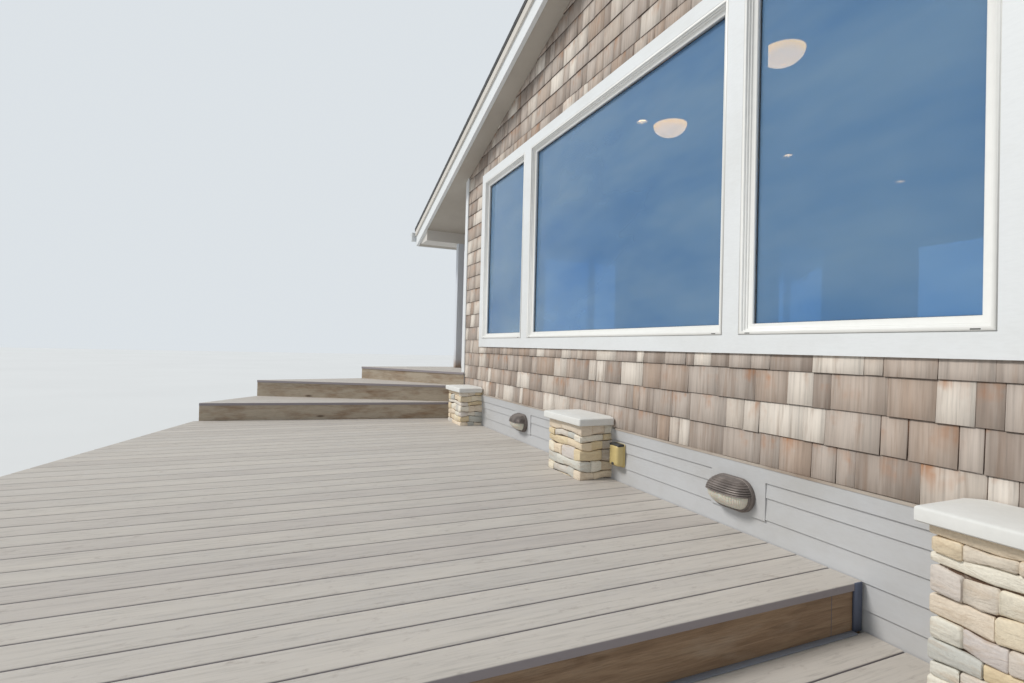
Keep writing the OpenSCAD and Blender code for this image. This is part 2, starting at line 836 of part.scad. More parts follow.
module upper_deck() {
    color(deck_grey) place() clear_of_piers()
        translate([0, 0, deck_z - board_t]) linear_extrude(board_t) upper_plan(nosing);
}

// Rim boards round a layer of joists that stays clear of the ground
module upper_deck_frame() {
    z1 = deck_z - board_t;
    color(riser_wood) place() clear_of_piers() difference() {
        linear_extrude(z1) upper_plan(0);
        translate([0, 0, -1]) linear_extrude(z1 - joist_h + 1) offset(delta = -riser_t) upper_plan(0);
    }
}

module lower_deck() {
    color(deck_grey) place() clear_of_piers()
        translate([0, 0, lower_deck_top - board_t]) linear_extrude(board_t) lower_plan(nosing);
}

module lower_deck_frame() {
    z1 = lower_deck_top - board_t;
    color(riser_wood) place() clear_of_piers() difference() {
        linear_extrude(z1) lower_plan(0);
        translate([0, 0, -1]) linear_extrude(z1 - joist_h + 1) offset(delta = -riser_t) lower_plan(0);
    }
}

/* Piers */
module stone_piers() {
    color(stone) place() for (x = pier_xs)
        block([x - pier_w / 2, -pier_d, 0], [x + pier_w / 2, wall_y, deck_z + pier_rise]);
}

// A cast cap with a low slope to its edges
module pier_caps() {
    z0 = deck_z + pier_rise;
    w = pier_w + 2 * cap_over;
    d = pier_d + cap_over;
    color("whitesmoke") place() for (x = pier_xs) translate([x, 0, z0]) hull() {
        translate([-w / 2, -d, 0]) cube([w, d, cap_h]);
        translate([-w / 2 + cap_over, -d + cap_over, cap_h])
            cube([w - 2 * cap_over, d - cap_over, cap_slope]);
    }
}

/* Lights and fittings */
module oval(w, h, t) {
    rotate([90, 0, 0]) linear_extrude(t) hull() {
        translate([-(w - h) / 2, 0]) circle(d = h, $fn = 48);
        translate([(w - h) / 2, 0]) circle(d = h, $fn = 48);
    }
}

// How far a light bulges in front of its base at a height over its middle
function bulge(z) = (light_d - light_base) * sqrt(1 - pow(min(1, abs(z) / (light_h / 2)), 2));

// Stepped outline of the hood: each louvre stands out most at its foot
function louvre_points() = [for (k = [0:louvre_count - 1]) each
    [[-bulge(hood_z(k)), hood_z(k)], [-bulge(hood_z(k + 1)) + 2, hood_z(k + 1)]]];
function hood_z(k) = hood_foot + k * (light_h / 2 - hood_foot) / louvre_count;

// Round outline of the shade under the hood
function shade_points() = [for (k = [0:shade_cuts]) let (a = 90 * k / shade_cuts)
    [-(light_d - light_base - shade_in) * cos(a), -(light_h / 2 - shade_in) * sin(a)]];

// An outline of depth and height drawn out along a light's length
module along(points) {
    translate([-light_l / 2, 0, 0]) rotate([90, 0, 90]) linear_extrude(light_l) polygon(points);
}

module light_bodies() {
    color([0.36, 0.34, 0.33]) place() for (x = light_xs) translate([x, wall_y - frieze_t, light_z]) {
        oval(light_l, light_h, light_base);
        translate([0, -light_base + tiny, 0]) intersection() {
            oval(light_l, light_h, light_d);
            along(concat([[0, hood_foot]], louvre_points(), [[0, light_h / 2]]));
        }
    }
}

module light_glasses() {
    color("lightyellow") place() for (x = light_xs) translate([x, wall_y - frieze_t - light_base, light_z])
        intersection() {
            oval(light_l - 2 * shade_in, light_h - 2 * shade_in, light_d);
            along(concat([[0, 0]], shade_points()));
        }
}

module outlet_cover() {
    y1 = wall_y - lap_butt - fit;
    color("khaki") place() block([outlet_x - outlet_w / 2, y1 - outlet_d, light_z - outlet_h / 2],
        [outlet_x + outlet_w / 2, y1, light_z + outlet_h / 2]);
}

/* Ceiling fans and downlights */
// The height where a fan's motor housing begins, under its rod
function fan_z(x) = soffit_z(x) - rod_l;

module at_fans() { for (x = fan_xs) translate([x, fan_in, fan_z(x)]) children(); }

module ceiling_fans() {
    color("silver") place() {
        at_fans() {
            cylinder(h = rod_l - canopy_h, d = 26, $fn = 32);
            translate([0, 0, -motor_h]) cylinder(h = motor_h, d = motor_d, $fn = 64);
            for (k = [0:4]) translate([0, 0, -motor_h / 2]) rotate([0, 0, 72 * k + 18]) rotate([12, 0, 0])
                block([motor_d / 2 - 15, -60, -4], [fan_span / 2, 60, 4]);
        }
        for (x = fan_xs) translate([x, fan_in, soffit_z(abs(x) + canopy_d / 2) - canopy_h - fit])
            cylinder(h = canopy_h, d = canopy_d, $fn = 48);
    }
}

module fan_bowls() {
    color("moccasin") place() at_fans() translate([0, 0, -motor_h]) intersection() {
        sphere(d = bowl_d, $fn = 48);
        block([-bowl_d, -bowl_d, -bowl_d], [bowl_d, bowl_d, -fit]);
    }
}

module downlights() {
    color("white") place() both_sides() for (y = can_ys)
        translate([can_x, y, soffit_z(can_x) - can_proud]) cylinder(h = can_h, d = can_d, $fn = 48);
}

foundation();
house_floor();
front_wall();
back_wall();
left_wall();
right_wall();
front_shingles();
back_shingles();
side_shingles();
corner_boards();
front_skirt();
back_skirt();
drip_strips();
front_casing();
front_frames();
front_glass();
house_casings();
house_frames();
house_glass();
door_frame();
porch_door();
roof_left();
roof_right();
roof_covering();
ridge_cap();
rake_boards();
shadow_boards();
eave_beams();
eave_fascias();
gutters();
porch_posts();
porch_decks();
porch_frames();
step_treads();
step_risers();
upper_deck();
upper_deck_frame();
lower_deck();
lower_deck_frame();
stone_piers();
pier_caps();
light_bodies();
light_glasses();
outlet_cover();
ceiling_fans();
fan_bowls();
downlights();
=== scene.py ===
# %% [markdown]
# # A beach house with its stepped sun decks
# The house is a small framed building. Weathered cedar shingles cover its walls, a
# group of three fixed windows fills its front, and composite decks climb from the
# ground to a porch on each side, with winder steps on the left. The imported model
# already holds the walls, roof, decks and frames at their true places. This lesson
# gives them what shows from two metres away: every shingle, stone, board and louvre.
#
# The model could be dressed with image textures. Here each finish is a graph of
# nodes instead, and each small part is worked out with numpy, so that nothing
# outside this file is needed and every size can be read as a number.

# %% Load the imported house
import math
import bmesh
import bpy
import numpy as np
from mathutils import Matrix


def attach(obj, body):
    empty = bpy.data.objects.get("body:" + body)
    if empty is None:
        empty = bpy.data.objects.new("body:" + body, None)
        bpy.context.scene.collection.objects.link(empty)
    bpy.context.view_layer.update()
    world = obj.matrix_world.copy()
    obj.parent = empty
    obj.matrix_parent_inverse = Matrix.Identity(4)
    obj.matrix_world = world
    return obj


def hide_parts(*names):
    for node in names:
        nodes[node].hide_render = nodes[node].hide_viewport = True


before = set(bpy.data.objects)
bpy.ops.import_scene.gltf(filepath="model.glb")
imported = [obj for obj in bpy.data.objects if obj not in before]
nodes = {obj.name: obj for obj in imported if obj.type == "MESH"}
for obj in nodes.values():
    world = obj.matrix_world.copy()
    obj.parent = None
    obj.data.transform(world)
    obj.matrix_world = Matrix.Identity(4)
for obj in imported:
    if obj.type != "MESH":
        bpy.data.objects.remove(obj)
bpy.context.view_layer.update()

# %% [markdown]
# ## The house's own plan
# A builder sets out a house from the face of its front wall, so y is counted here
# from the face of the window casing, x from the middle of that wall and z from the
# ground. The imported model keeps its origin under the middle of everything, which is
# 1.238 m further in, and one shift brings the one to the other.

# %% Levels and distances in metres
ORIGIN_Y = 1.23829
LOWER_DECK, DECK, PORCH, FLOOR = 0.300, 0.484, 1.024, 1.060
SHINGLE_FOOT, COURSE = 0.821, 0.147
HALF_W, HOUSE_L, BOARD_T = 2.970, 7.320, 0.019
ROOF_ANGLE = math.radians(17.5)
CORNER_Z, SLOPE = 3.320, math.tan(ROOF_ANGLE)
WINDOW_FOOT, WINDOW_H, CASING_W = 1.422, 1.722, 0.089
BEAM_X, BOX_X = 4.150, 4.480
rng = np.random.default_rng(11)


def soffit(x):
    """Height of the soffit: the corner's height plus the pitch times the distance in from the corner."""
    return CORNER_Z + SLOPE * (HALF_W - np.abs(x))


def placed(x, y, z):
    """Points of the house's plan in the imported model's frame: y less the shift of the origin."""
    return np.stack(np.broadcast_arrays(x, np.subtract(y, ORIGIN_Y), z), -1).astype(float)


def on_wall(wall, u, z, out):
    """Points on a wall: u runs along it, z up, and out counts from the casing's face outwards."""
    if wall == "front":
        return placed(u, -np.asarray(out), z)
    if wall == "back":
        return placed(u, HOUSE_L + np.asarray(out), z)
    sign = 1 if wall == "right" else -1
    return placed(sign * (HALF_W + np.asarray(out)), u, z)


print("ridge soffit at", round(float(soffit(0)), 3), "m")

# %% [markdown]
# ## The camera's place
# The straight edges of the photograph fix the camera. Its eye is 0.85 m over the
# upper deck and looks along the front wall, turned 66.4 degrees from square, with a
# wide lens. The three rows below are the picture's right, up and backward directions.

# %% Camera
WIDTH, FOCAL_PX, SENSOR, EYE = 1024, 538.8, 36.0, (3.2375, -2.055, 1.334)
right = np.array([0.400251014, 0.916063143, 0.0250488347])
up = np.array([0.0000758, -0.0273668896, 0.999625454])
backward = np.array([0.916405543, -0.400099203, -0.0110230793])
camera = bpy.data.objects.new("camera", bpy.data.cameras.new("camera"))
bpy.context.scene.collection.objects.link(camera)
camera.data.sensor_width = SENSOR
camera.data.lens = FOCAL_PX * SENSOR / WIDTH
camera.data.clip_end = 200.0
pose = np.eye(4)
pose[:3, 0], pose[:3, 1], pose[:3, 2] = right, up, backward
pose[:3, 3] = (EYE[0], EYE[1] - ORIGIN_Y, EYE[2])
camera.matrix_world = Matrix(pose.tolist())
bpy.context.scene.camera = camera
print("lens", round(camera.data.lens, 2), "mm")

# %% [markdown]
# ## Studio light
# One broad lamp stands in for a high sun softened by haze, and an even pale world
# fills the shadows, so a colour renders about as it is written. The world lights the
# house less than it shows itself to the eye, to mirrors and through glass. The lamp
# is set to the left of the picture, because the photograph's light comes from there.

# %% World and lamp
LIGHT_GIVEN, LIGHT_SEEN, HAZE = 0.54, 0.80, (0.90, 0.955, 1.0, 1.0)
SUN_STRENGTH, SUN_WIDTH, SUN_COLOUR, TOWARD_SUN = 2.12, 16, (1.0, 0.97, 0.92), (-0.19, -0.62, 0.62)
scene = bpy.context.scene
scene.view_settings.view_transform = "Standard"
world = bpy.data.worlds.new("studio")
world.use_nodes = True
scene.world = world
tree = world.node_tree
background = tree.nodes["Background"]
paths = tree.nodes.new("ShaderNodeLightPath")
looking = paths.outputs["Is Camera Ray"]
for ray in ("Is Glossy Ray", "Is Transmission Ray"):
    either = tree.nodes.new("ShaderNodeMath")
    either.operation = "MAXIMUM"
    tree.links.new(looking, either.inputs[0])
    tree.links.new(paths.outputs[ray], either.inputs[1])
    looking = either.outputs[0]
level = tree.nodes.new("ShaderNodeMapRange")
level.inputs["To Min"].default_value = LIGHT_GIVEN
level.inputs["To Max"].default_value = LIGHT_SEEN
tree.links.new(looking, level.inputs["Value"])
background.inputs["Color"].default_value = HAZE
tree.links.new(level.outputs[0], background.inputs["Strength"])

sun = bpy.data.objects.new("sun", bpy.data.lights.new("sun", "SUN"))
scene.collection.objects.link(sun)
sun.data.energy = SUN_STRENGTH
sun.data.angle = math.radians(SUN_WIDTH)
sun.data.color = SUN_COLOUR
z_axis = np.array(TOWARD_SUN) / np.linalg.norm(TOWARD_SUN)
x_axis = np.cross([0, 0, 1], z_axis)
x_axis /= np.linalg.norm(x_axis)
turn = np.eye(4)
turn[:3, 0], turn[:3, 1], turn[:3, 2] = x_axis, np.cross(z_axis, x_axis), z_axis
sun.matrix_world = Matrix(turn.tolist())
print("sun", np.round(np.degrees(np.arcsin(z_axis[2])), 1), "degrees up")

# %% [markdown]
# ## Shapes as whole arrays
# Almost everything on a house is a cut profile carried along a straight run: a deck
# board, a shingle, a window frame, a gutter. One function below carries any number of
# profiles at once. The points are a block of numbers, items x stations x profile
# points x 3, and the faces follow from the same block's counting, with no loop over
# vertices. A loop with bmesh would do the same at a hundredth of the speed.

# %% Bodies and pieces
def body(points, faces, grain=None, tone=0.5, rise=0.0):
    """A bundle of points and faces. grain is each point's place on its own board (across, along,
    out), tone is one number for each item's colour and rise is how far up its course it lies."""
    count = len(points)
    return {"points": points, "faces": faces, "grain": points if grain is None else grain,
            "tone": np.broadcast_to(tone, count), "rise": np.broadcast_to(rise, count)}


def carry(sections, ring=False, **marks):
    """Profiles carried along a path. Point number = (item * stations + station) * profile points
    + point, and each face joins a point, its neighbour on the profile and both at the next station.
    A run has a cap at each end, and a ring closes on itself."""
    items, stations, points = sections.shape[:3]
    index = np.arange(items * stations * points).reshape(items, stations, points)
    beside = np.roll(index, -1, axis=2)
    here, there = (index, beside) if ring else (index[:, :-1], beside[:, :-1])
    next_here = np.roll(index, -1, axis=1) if ring else index[:, 1:]
    next_there = np.roll(beside, -1, axis=1) if ring else beside[:, 1:]
    faces = [np.stack([here, there, next_there, next_here], -1).reshape(-1, 4)]
    if not ring:
        faces += [index[:, 0], index[:, -1, ::-1]]
    marks = {key: np.asarray(value).reshape(items * stations * points, -1).squeeze()
             if np.size(value) > 1 else value for key, value in marks.items()}
    return body(sections.reshape(-1, 3), faces, **marks)


def make_piece(name, bodies, finish, replaces=(), smooth=None):
    """Joins bodies into one mesh object that rides on the house. Normals are worked out anew, so
    that mirrored bodies face outwards too; smooth is the angle above which an edge stays sharp."""
    def joined(key):
        return np.concatenate([b[key] for b in bodies]).astype(np.float32).ravel()

    starts = np.cumsum([0] + [len(b["points"]) for b in bodies])
    faces = [f + start for b, start in zip(bodies, starts) for f in b["faces"]]
    totals = np.concatenate([np.full(len(f), f.shape[1]) for f in faces])
    corners = np.concatenate([f.ravel() for f in faces]).astype(np.int32)
    mesh = bpy.data.meshes.new(name)
    mesh.vertices.add(int(starts[-1]))
    mesh.vertices.foreach_set("co", joined("points"))
    mesh.loops.add(len(corners))
    mesh.loops.foreach_set("vertex_index", corners)
    mesh.polygons.add(len(totals))
    mesh.polygons.foreach_set("loop_start", (np.cumsum(totals) - totals).astype(np.int32))
    grain = mesh.attributes.new("grain", "FLOAT_VECTOR", "POINT")
    grain.data.foreach_set("vector", joined("grain"))
    for key in ("tone", "rise"):
        mark = mesh.attributes.new(key, "FLOAT", "POINT")
        mark.data.foreach_set("value", joined(key))
    mesh.update(calc_edges=True)
    work = bmesh.new()
    work.from_mesh(mesh)
    bmesh.ops.recalc_face_normals(work, faces=work.faces)
    work.to_mesh(mesh)
    work.free()
    if smooth is not None:
        mesh.shade_smooth()
        mesh.set_sharp_from_angle(angle=math.radians(smooth))
    piece = bpy.data.objects.new(name, mesh)
    scene.collection.objects.link(piece)
    mesh.materials.append(finish)
    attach(piece, "root")
    if replaces:
        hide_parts(*replaces)
    print(name, "-", sum(len(b["faces"][0]) for b in bodies), "side faces,",
          int(np.sum(totals - 2)), "triangles")
    return piece


# %% Eased boxes
def eased_boxes(low, high, ease=0.002, along=2, tone=0.5):
    """Boxes with planed-off edges. The profile is a rectangle whose corners are cut by the ease,
    and it shrinks by the ease at both ends of the run. One row of low and high is one box."""
    low, high = np.atleast_2d(low).astype(float), np.atleast_2d(high).astype(float)
    order = [axis for axis in (0, 1, 2) if axis != along] + [along]
    lo, hi = low[:, order], high[:, order]
    corner = np.array([(0, 0, 1, 0), (1, 0, -1, 0), (1, 0, 0, 1), (1, 1, 0, -1),
                       (1, 1, -1, 0), (0, 1, 1, 0), (0, 1, 0, -1), (0, 0, 0, 1)], float)
    inset = np.array([ease, 0, 0, ease])[None, :, None]
    ends = np.stack([lo[:, 2], lo[:, 2] + ease, hi[:, 2] - ease, hi[:, 2]], 1)
    run = []
    for axis in (0, 1):
        near, far = lo[:, axis, None, None], hi[:, axis, None, None]
        side, cut = corner[None, None, :, axis], corner[None, None, :, 2 + axis]
        run.append((near + inset) * (1 - side) + (far - inset) * side + cut * ease)
    sections = np.empty(run[0].shape + (3,))
    for axis, values in zip(order, (run[0], run[1], np.broadcast_to(ends[:, :, None], run[0].shape))):
        sections[..., axis] = values
    shift = rng.uniform(0, 40, (len(low), 1, 1, 1))
    grain = np.stack([sections[..., order[0]] + sections[..., order[1]], sections[..., along],
                      sections[..., order[1]]], -1) + shift
    tones = np.broadcast_to(np.reshape(tone, (-1, 1, 1)), sections.shape[:3])
    return carry(sections, grain=grain.reshape(-1, 3), tone=tones.ravel())


TINY = 1e-4


def turned(outline, centre, facets=48):
    """A lathe shape: the outline's (radius, height) pairs carried round an upright axis. Point =
    centre + radius * (cos a, sin a). Both ends run in to a tiny ring, which a cap closes."""
    inner = [[(TINY, height)] if radius > TINY else [] for radius, height in (outline[0], outline[-1])]
    outline = np.array([*inner[0], *outline, *inner[1]], float)
    angle = np.linspace(0, 2 * np.pi, facets, endpoint=False)
    radius, height = outline[:, 0, None], np.broadcast_to(outline[:, 1, None], (len(outline), facets))
    ring = np.stack([centre[0] + radius * np.cos(angle), centre[1] + radius * np.sin(angle),
                     centre[2] + height], -1)
    return carry(ring[None])


def moved(part, turn=None, shift=(0, 0, 0)):
    """The same body turned by a 3 x 3 matrix and then shifted."""
    points = part["points"] if turn is None else part["points"] @ np.asarray(turn).T
    return dict(part, points=points + np.asarray(shift))


test = eased_boxes([0, 0, 0], [1, 1, 1])
print("an eased box has", len(test["points"]), "points and", sum(len(f) for f in test["faces"]), "faces")

# %% [markdown]
# ## Finishes as graphs of nodes
# A finish on a house is rarely one colour. Paint chalks and gathers dust, cedar turns
# silver and bleeds tannin, composite boards carry a pressed grain. Each finish below
# is a graph: a noise stretched along the grain is read through a colour ramp, a finer
# one lifts the surface, and a mark that each board carries gives it its own tone.

# %% A small kit for node graphs
OBJECT, NORMAL, VECTOR, NUMBER, COLOUR = 3, 1, 1, 2, 1  # which of a node's outputs is read


def paint(red, green, blue):
    """A colour written as on a screen, 0 to 255, in the linear numbers that a shader reads."""
    share = np.array([red, green, blue]) / 255.0
    linear = np.where(share <= 0.04045, share / 12.92, ((share + 0.055) / 1.055) ** 2.4)
    return (*[float(v) for v in linear], 1.0)


class Finish:
    """A material and short calls that add nodes to it. Each call returns the new node's output, and
    a colour is a triple as on a screen. A grained finish follows each board's own place."""

    def __init__(self, name, roughness, grained=False, **settings):
        self.grained = grained
        self.material = bpy.data.materials.new(name)
        self.material.use_nodes = True
        self.tree = self.material.node_tree
        self.shader = self.tree.nodes["Principled BSDF"]
        self.shader.inputs["Roughness"].default_value = roughness
        for key, value in settings.items():
            self.set_input(self.shader.inputs[key.replace("_", " ")], value)

    def set_input(self, socket, value):
        """Links a node's output to a socket, or sets a number there, or a colour from its triple."""
        if isinstance(value, bpy.types.NodeSocket):
            self.tree.links.new(value, socket)
        else:
            colour = isinstance(value, tuple) and socket.type == "RGBA"
            socket.default_value = paint(*value) if colour else value

    def add(self, kind, *inputs, output=0, **settings):
        """A node of one kind. Inputs go to its sockets in order, settings to its options, which are
        written small, or to its named sockets."""
        made = self.tree.nodes.new("ShaderNode" + kind)
        for key, value in settings.items():
            if key[0].islower():
                setattr(made, key, value)
        named = [(key.replace("_", " "), value) for key, value in settings.items() if key[0].isupper()]
        for key, value in list(enumerate(inputs)) + named:
            self.set_input(made.inputs[key], value)
        return made.outputs[output]

    def own(self, name):
        """A mark that the mesh carries on its points."""
        return self.add("Attribute", attribute_name=name, output=VECTOR if name == "grain" else NUMBER)

    def place(self, scale):
        """Where a point lies, stretched by a scale on each axis: on its own board, or in the object."""
        start = self.own("grain") if self.grained else self.add("TexCoord", output=OBJECT)
        return self.add("Mapping", start, Scale=scale)

    def noise(self, scale, detail=5.0, rough=0.6, distortion=0.0):
        """A patchy value from 0 to 1. Scale gives the patches per metre along each axis."""
        return self.add("TexNoise", Vector=self.place(scale), Scale=1.0, Detail=detail, Roughness=rough,
                        Distortion=distortion)

    def ramp(self, value, *stops):
        """Colours by value: each stop is a value and a colour, or a value and a level of grey."""
        made = self.tree.nodes.new("ShaderNodeValToRGB")
        marks = made.color_ramp.elements
        while len(marks) < len(stops):
            marks.new(0.5)
        for mark, (at, colour) in zip(marks, stops):
            mark.position = at
            mark.color = paint(*colour) if isinstance(colour, tuple) else (colour, colour, colour, 1.0)
        self.tree.links.new(value, made.inputs[0])
        return made.outputs[0]

    def mix(self, share, first, second, blend="MIX"):
        """Colour = first * (1 - share) + second * share. MULTIPLY takes first * second for second.
        The node's sockets 0, 6 and 7 are the share and both colours, and its output 2 the result."""
        made = self.tree.nodes.new("ShaderNodeMix")
        made.data_type, made.blend_type = "RGBA", blend
        for socket, value in ((0, share), (6, first), (7, second)):
            self.set_input(made.inputs[socket], value)
        return made.outputs[2]

    def shade(self, share, colour, value, *stops):
        """A colour multiplied, by a share, with the greys that a ramp gives for a value."""
        return self.mix(share, colour, self.ramp(value, *stops), "MULTIPLY")

    def maths(self, operation, first, second=0.0):
        return self.add("Math", first, second, operation=operation)

    def facing(self, axis):
        """The part of the surface's direction along an axis, from -1 to 1."""
        normal = self.add("NewGeometry", output=NORMAL)
        return self.add("SeparateXYZ", normal, output=axis)

    def finish(self, colour, lift=None, strength=0.3, depth=0.001, rough=None):
        """Joins the colour, the lifted surface and the roughness to the shader."""
        self.tree.links.new(colour, self.shader.inputs["Base Color"])
        if lift is not None:
            bump = self.add("Bump", strength, depth, Height=lift)
            self.tree.links.new(bump, self.shader.inputs["Normal"])
        if rough is not None:
            self.tree.links.new(rough, self.shader.inputs["Roughness"])
        return self.material


print("kit ready")

# %% [markdown]
# ## Weathered cedar
# Cedar shingles silver in the weather. The wood's own grain runs up and down in fine
# ridges, each shingle keeps a tone of its own, and rain washes tannin down from under
# the next course as an orange-brown stain. The faces that look down, the cut butts, are
# painted dark as shade, and a band of painted shadow lies under each butt above. Each
# shingle carries its tone and how far up its course a point lies, so the stain and the
# painted shadow always start under the butt above, on every wall.

# %% Cedar
def cedar():
    """A tone for each shingle, grey bands, brown patches, fibres, the stain from above, painted shadow
    under each butt and painted shade where faces look down.
    """
    f = Finish("weathered_cedar", 0.88, grained=True)
    tone, rise = f.own("tone"), f.own("rise")
    fibres = f.noise((95, 2.4, 30), detail=7, rough=0.68)
    bands = f.noise((16, 1.2, 6), detail=3)
    blotch = f.noise((7, 6, 7), detail=3)
    wood = f.ramp(tone, (0.02, (84, 62, 50)), (0.06, (148, 133, 122)), (0.3, (173, 160, 150)),
                  (0.5, (191, 179, 169)), (0.68, (170, 149, 133)), (0.82, (209, 199, 188)),
                  (1.0, (230, 221, 210)))
    silver = f.mix(f.ramp(bands, (0.42, 0.0), (0.72, 0.5)), wood, (206, 196, 187))
    brown = f.mix(f.ramp(f.noise((26, 2.0, 9), detail=4), (0.54, 0.0), (0.72, 0.6)), silver,
                  (142, 118, 100))
    streaked = f.shade(0.75, brown, fibres, (0.3, 0.62), (0.5, 0.96), (0.75, 1.12))
    drips = f.ramp(f.noise((42, 1.5, 12), detail=4), (0.36, 0.15), (0.6, 1.0))
    washed = f.maths("MULTIPLY", f.ramp(rise, (0.25, 0.0), (0.97, 1.0)),
                     f.ramp(blotch, (0.53, 0.0), (0.68, 0.9)))
    stained = f.mix(f.maths("MULTIPLY", washed, drips), streaked, (172, 116, 72))
    # Painted shadow: the top of each shingle, just under the butt above, is darkened as the shade that the
    # butt casts.
    shadow = f.mix(f.ramp(rise, (0.945, 0.0), (0.99, 0.75)), stained, (80, 61, 50))
    # Painted shade: faces that look down, the cut butts, are turned dark brown as if in shade.
    under = f.ramp(f.maths("MULTIPLY", f.facing(2), -1.0), (0.45, 0.0), (0.75, 0.9))
    return f.finish(f.mix(under, shadow, (62, 47, 39)), fibres, 0.45, 0.0015)


CEDAR = cedar()
print("finish", CEDAR.name)

# %% [markdown]
# ## Deck boards and risers
# The boards are a wood and plastic mix whose grain is pressed in by a roller, so it is
# shallow and the boards are nearly one colour, greyed by sun and a little dirty. The
# risers below are real wood, stained brown, with growth rings, knots and grey wear.

# %% Composite boards and stained risers
def deck_board():
    """One tone a board, pale wear and fine specks over a pressed grain, and painted shade: a bluish grey
    on the upright edges.
    """
    f = Finish("composite_deck_board", 0.72, grained=True)
    pressed = f.noise((85, 4.5, 20), detail=7, rough=0.7, distortion=0.4)
    worn = f.noise((5, 0.7, 5), detail=5)
    specks = f.noise((26, 11, 20), detail=8, rough=0.75)
    tone = f.ramp(f.own("tone"), (0.0, (183, 176, 170)), (0.5, (188, 182, 175)), (1.0, (194, 188, 181)))
    base = f.mix(f.ramp(worn, (0.35, 0.0), (0.7, 0.7)), tone, (203, 196, 187))
    grained = f.shade(0.8, base, pressed, (0.32, 0.74), (0.48, 0.98), (0.7, 1.06))
    dusty = f.mix(f.ramp(specks, (0.57, 0.0), (0.7, 0.6)), grained, (150, 140, 133))
    # Painted shade: faces that don't look up, the board's edges and nose, are turned a bluish grey as if
    # in shade.
    edge = f.ramp(f.maths("ABSOLUTE", f.facing(2)), (0.3, 0.85), (0.8, 0.0))
    return f.finish(f.mix(edge, dusty, (136, 129, 135)), pressed, 0.5, 0.0014,
                    f.ramp(worn, (0.3, 0.62), (0.7, 0.8)))


def stained_riser(name, grey, aged):
    """Level brown rings, worn to an aged grey, with knots and fine saw marks."""
    f = Finish(name, 0.7)
    rings = f.noise((2.2, 2.2, 34), detail=6, rough=0.62, distortion=0.8)
    knots = f.add("TexVoronoi", Vector=f.place((2.1, 2.1, 7.5)), Scale=1.0, Randomness=1.0)
    wear = f.noise((3, 3, 12), detail=6)
    sawn = f.noise((9, 9, 210), detail=6, rough=0.7)
    wood = f.ramp(rings, (0.25, (118, 94, 73)), (0.45, (138, 113, 89)), (0.6, (151, 127, 102)),
                  (0.8, (126, 101, 78)))
    greyed = f.mix(f.ramp(wear, (0.5 - grey, 0.0), (0.76 - grey, 0.85)), wood, aged)
    knotted = f.mix(f.ramp(knots, (0.0, 0.9), (0.06, 0.75), (0.12, 0.0)), greyed, (78, 58, 38))
    rough_sawn = f.shade(0.8, knotted, sawn, (0.3, 0.7), (0.52, 1.0), (0.75, 1.18))
    return f.finish(rough_sawn, f.maths("ADD", rings, sawn), 0.5, 0.002)


DECK_BOARD = deck_board()
RISER = stained_riser("stained_riser_wood", 0.0, (160, 143, 124))
STEP_RISER = stained_riser("weathered_riser_wood", 0.2, (186, 174, 156))
print("finishes", DECK_BOARD.name, RISER.name, STEP_RISER.name)

# %% [markdown]
# ## Paint, vinyl and plain linings
# The painted parts need little: a faint mottling, dust where water stands and a trace
# of the brush. One function makes such a finish from a pale and a dirty tone, and a
# stretch for its brush marks. The white window frames are smooth vinyl, glossier and
# cleaner than the boards round them.

# %% Painted and moulded surfaces
def painted(name, clean, dirty, roughness=0.55, stretch=(4, 4, 18), dirt=0.35, lift=0.12, fine=1.0):
    """A paint: clean and dirty tones mixed by a broad noise, and a fine stretched noise for the brush."""
    f = Finish(name, roughness)
    broad = f.noise((2.2, 2.2, 3.4), detail=7, rough=0.66)
    brush = f.noise(tuple(8 * fine * s for s in stretch), detail=5)
    colour = f.mix(f.ramp(broad, (0.44, 0.0), (0.78, dirt)), clean, dirty)
    colour = f.shade(0.35, colour, brush, (0.3, 0.93), (0.6, 1.02))
    return f.finish(colour, brush, lift, 0.0008)


WHITE = painted("white_trim_paint", (230, 233, 235), (208, 208, 204))
SKIRT = painted("grey_siding_paint", (193, 194, 196), (174, 171, 166), dirt=0.55)
VINYL = painted("white_vinyl", (237, 237, 234), (224, 222, 215), 0.3, (3, 3, 3), 0.2, 0.03)
SOFFIT = painted("soffit_paint", (210, 206, 200), (190, 185, 176), 0.7)
# The shadow boards' paint is greyed as painted shade, the shade that the roof's black edge casts on them.
SHADED_TRIM = painted("trim_paint_with_painted_shade", (214, 208, 200), (190, 184, 174))
DOOR = painted("door_paint", (226, 229, 231), (204, 203, 198), 0.4, lift=0.08)
LINING = painted("wall_lining", (214, 205, 188), (196, 186, 168), 0.85, stretch=(3, 3, 3))
CONCRETE = painted("foundation_concrete", (166, 162, 154), (128, 122, 113), 0.92, (3, 3, 4), 0.7, 0.5)
CAP = painted("cast_cap", (226, 226, 223), (204, 202, 195), 0.75, (3, 3, 3), 0.4, 0.25, 2.0)
GUTTER = painted("gutter_metal", (206, 209, 211), (170, 170, 166), 0.38, dirt=0.5, lift=0.04)
OUTLET = painted("outlet_plastic", (214, 194, 136), (178, 154, 100), 0.25, dirt=0.6, lift=0.04)
TRIM_RING = painted("downlight_trim", (236, 235, 230), (214, 212, 205), 0.45, lift=0.05)
SEAL = painted("black_glazing_seal", (52, 54, 56), (84, 84, 82), 0.6, dirt=0.5, lift=0.1)
DARK_TRIM = painted("dark_end_trim", (84, 92, 112), (68, 72, 84), 0.6, dirt=0.6)
FOOT_SHADOW = painted("painted_foot_shadow", (128, 134, 146), (108, 110, 116), 0.7, dirt=0.6)
print("painted finishes ready")

# %% [markdown]
# ## Metals, stone, felt and glass
# The lights and fans are coated and brushed metal, the piers are split stone in a
# dozen natural tones, and the roof wears felt with mineral grains. A picture wrapped
# round each would stretch and repeat, while a noise read through a ramp keeps its true
# grain on every side. Bowls and downlights are glass lit from inside, so they glow.

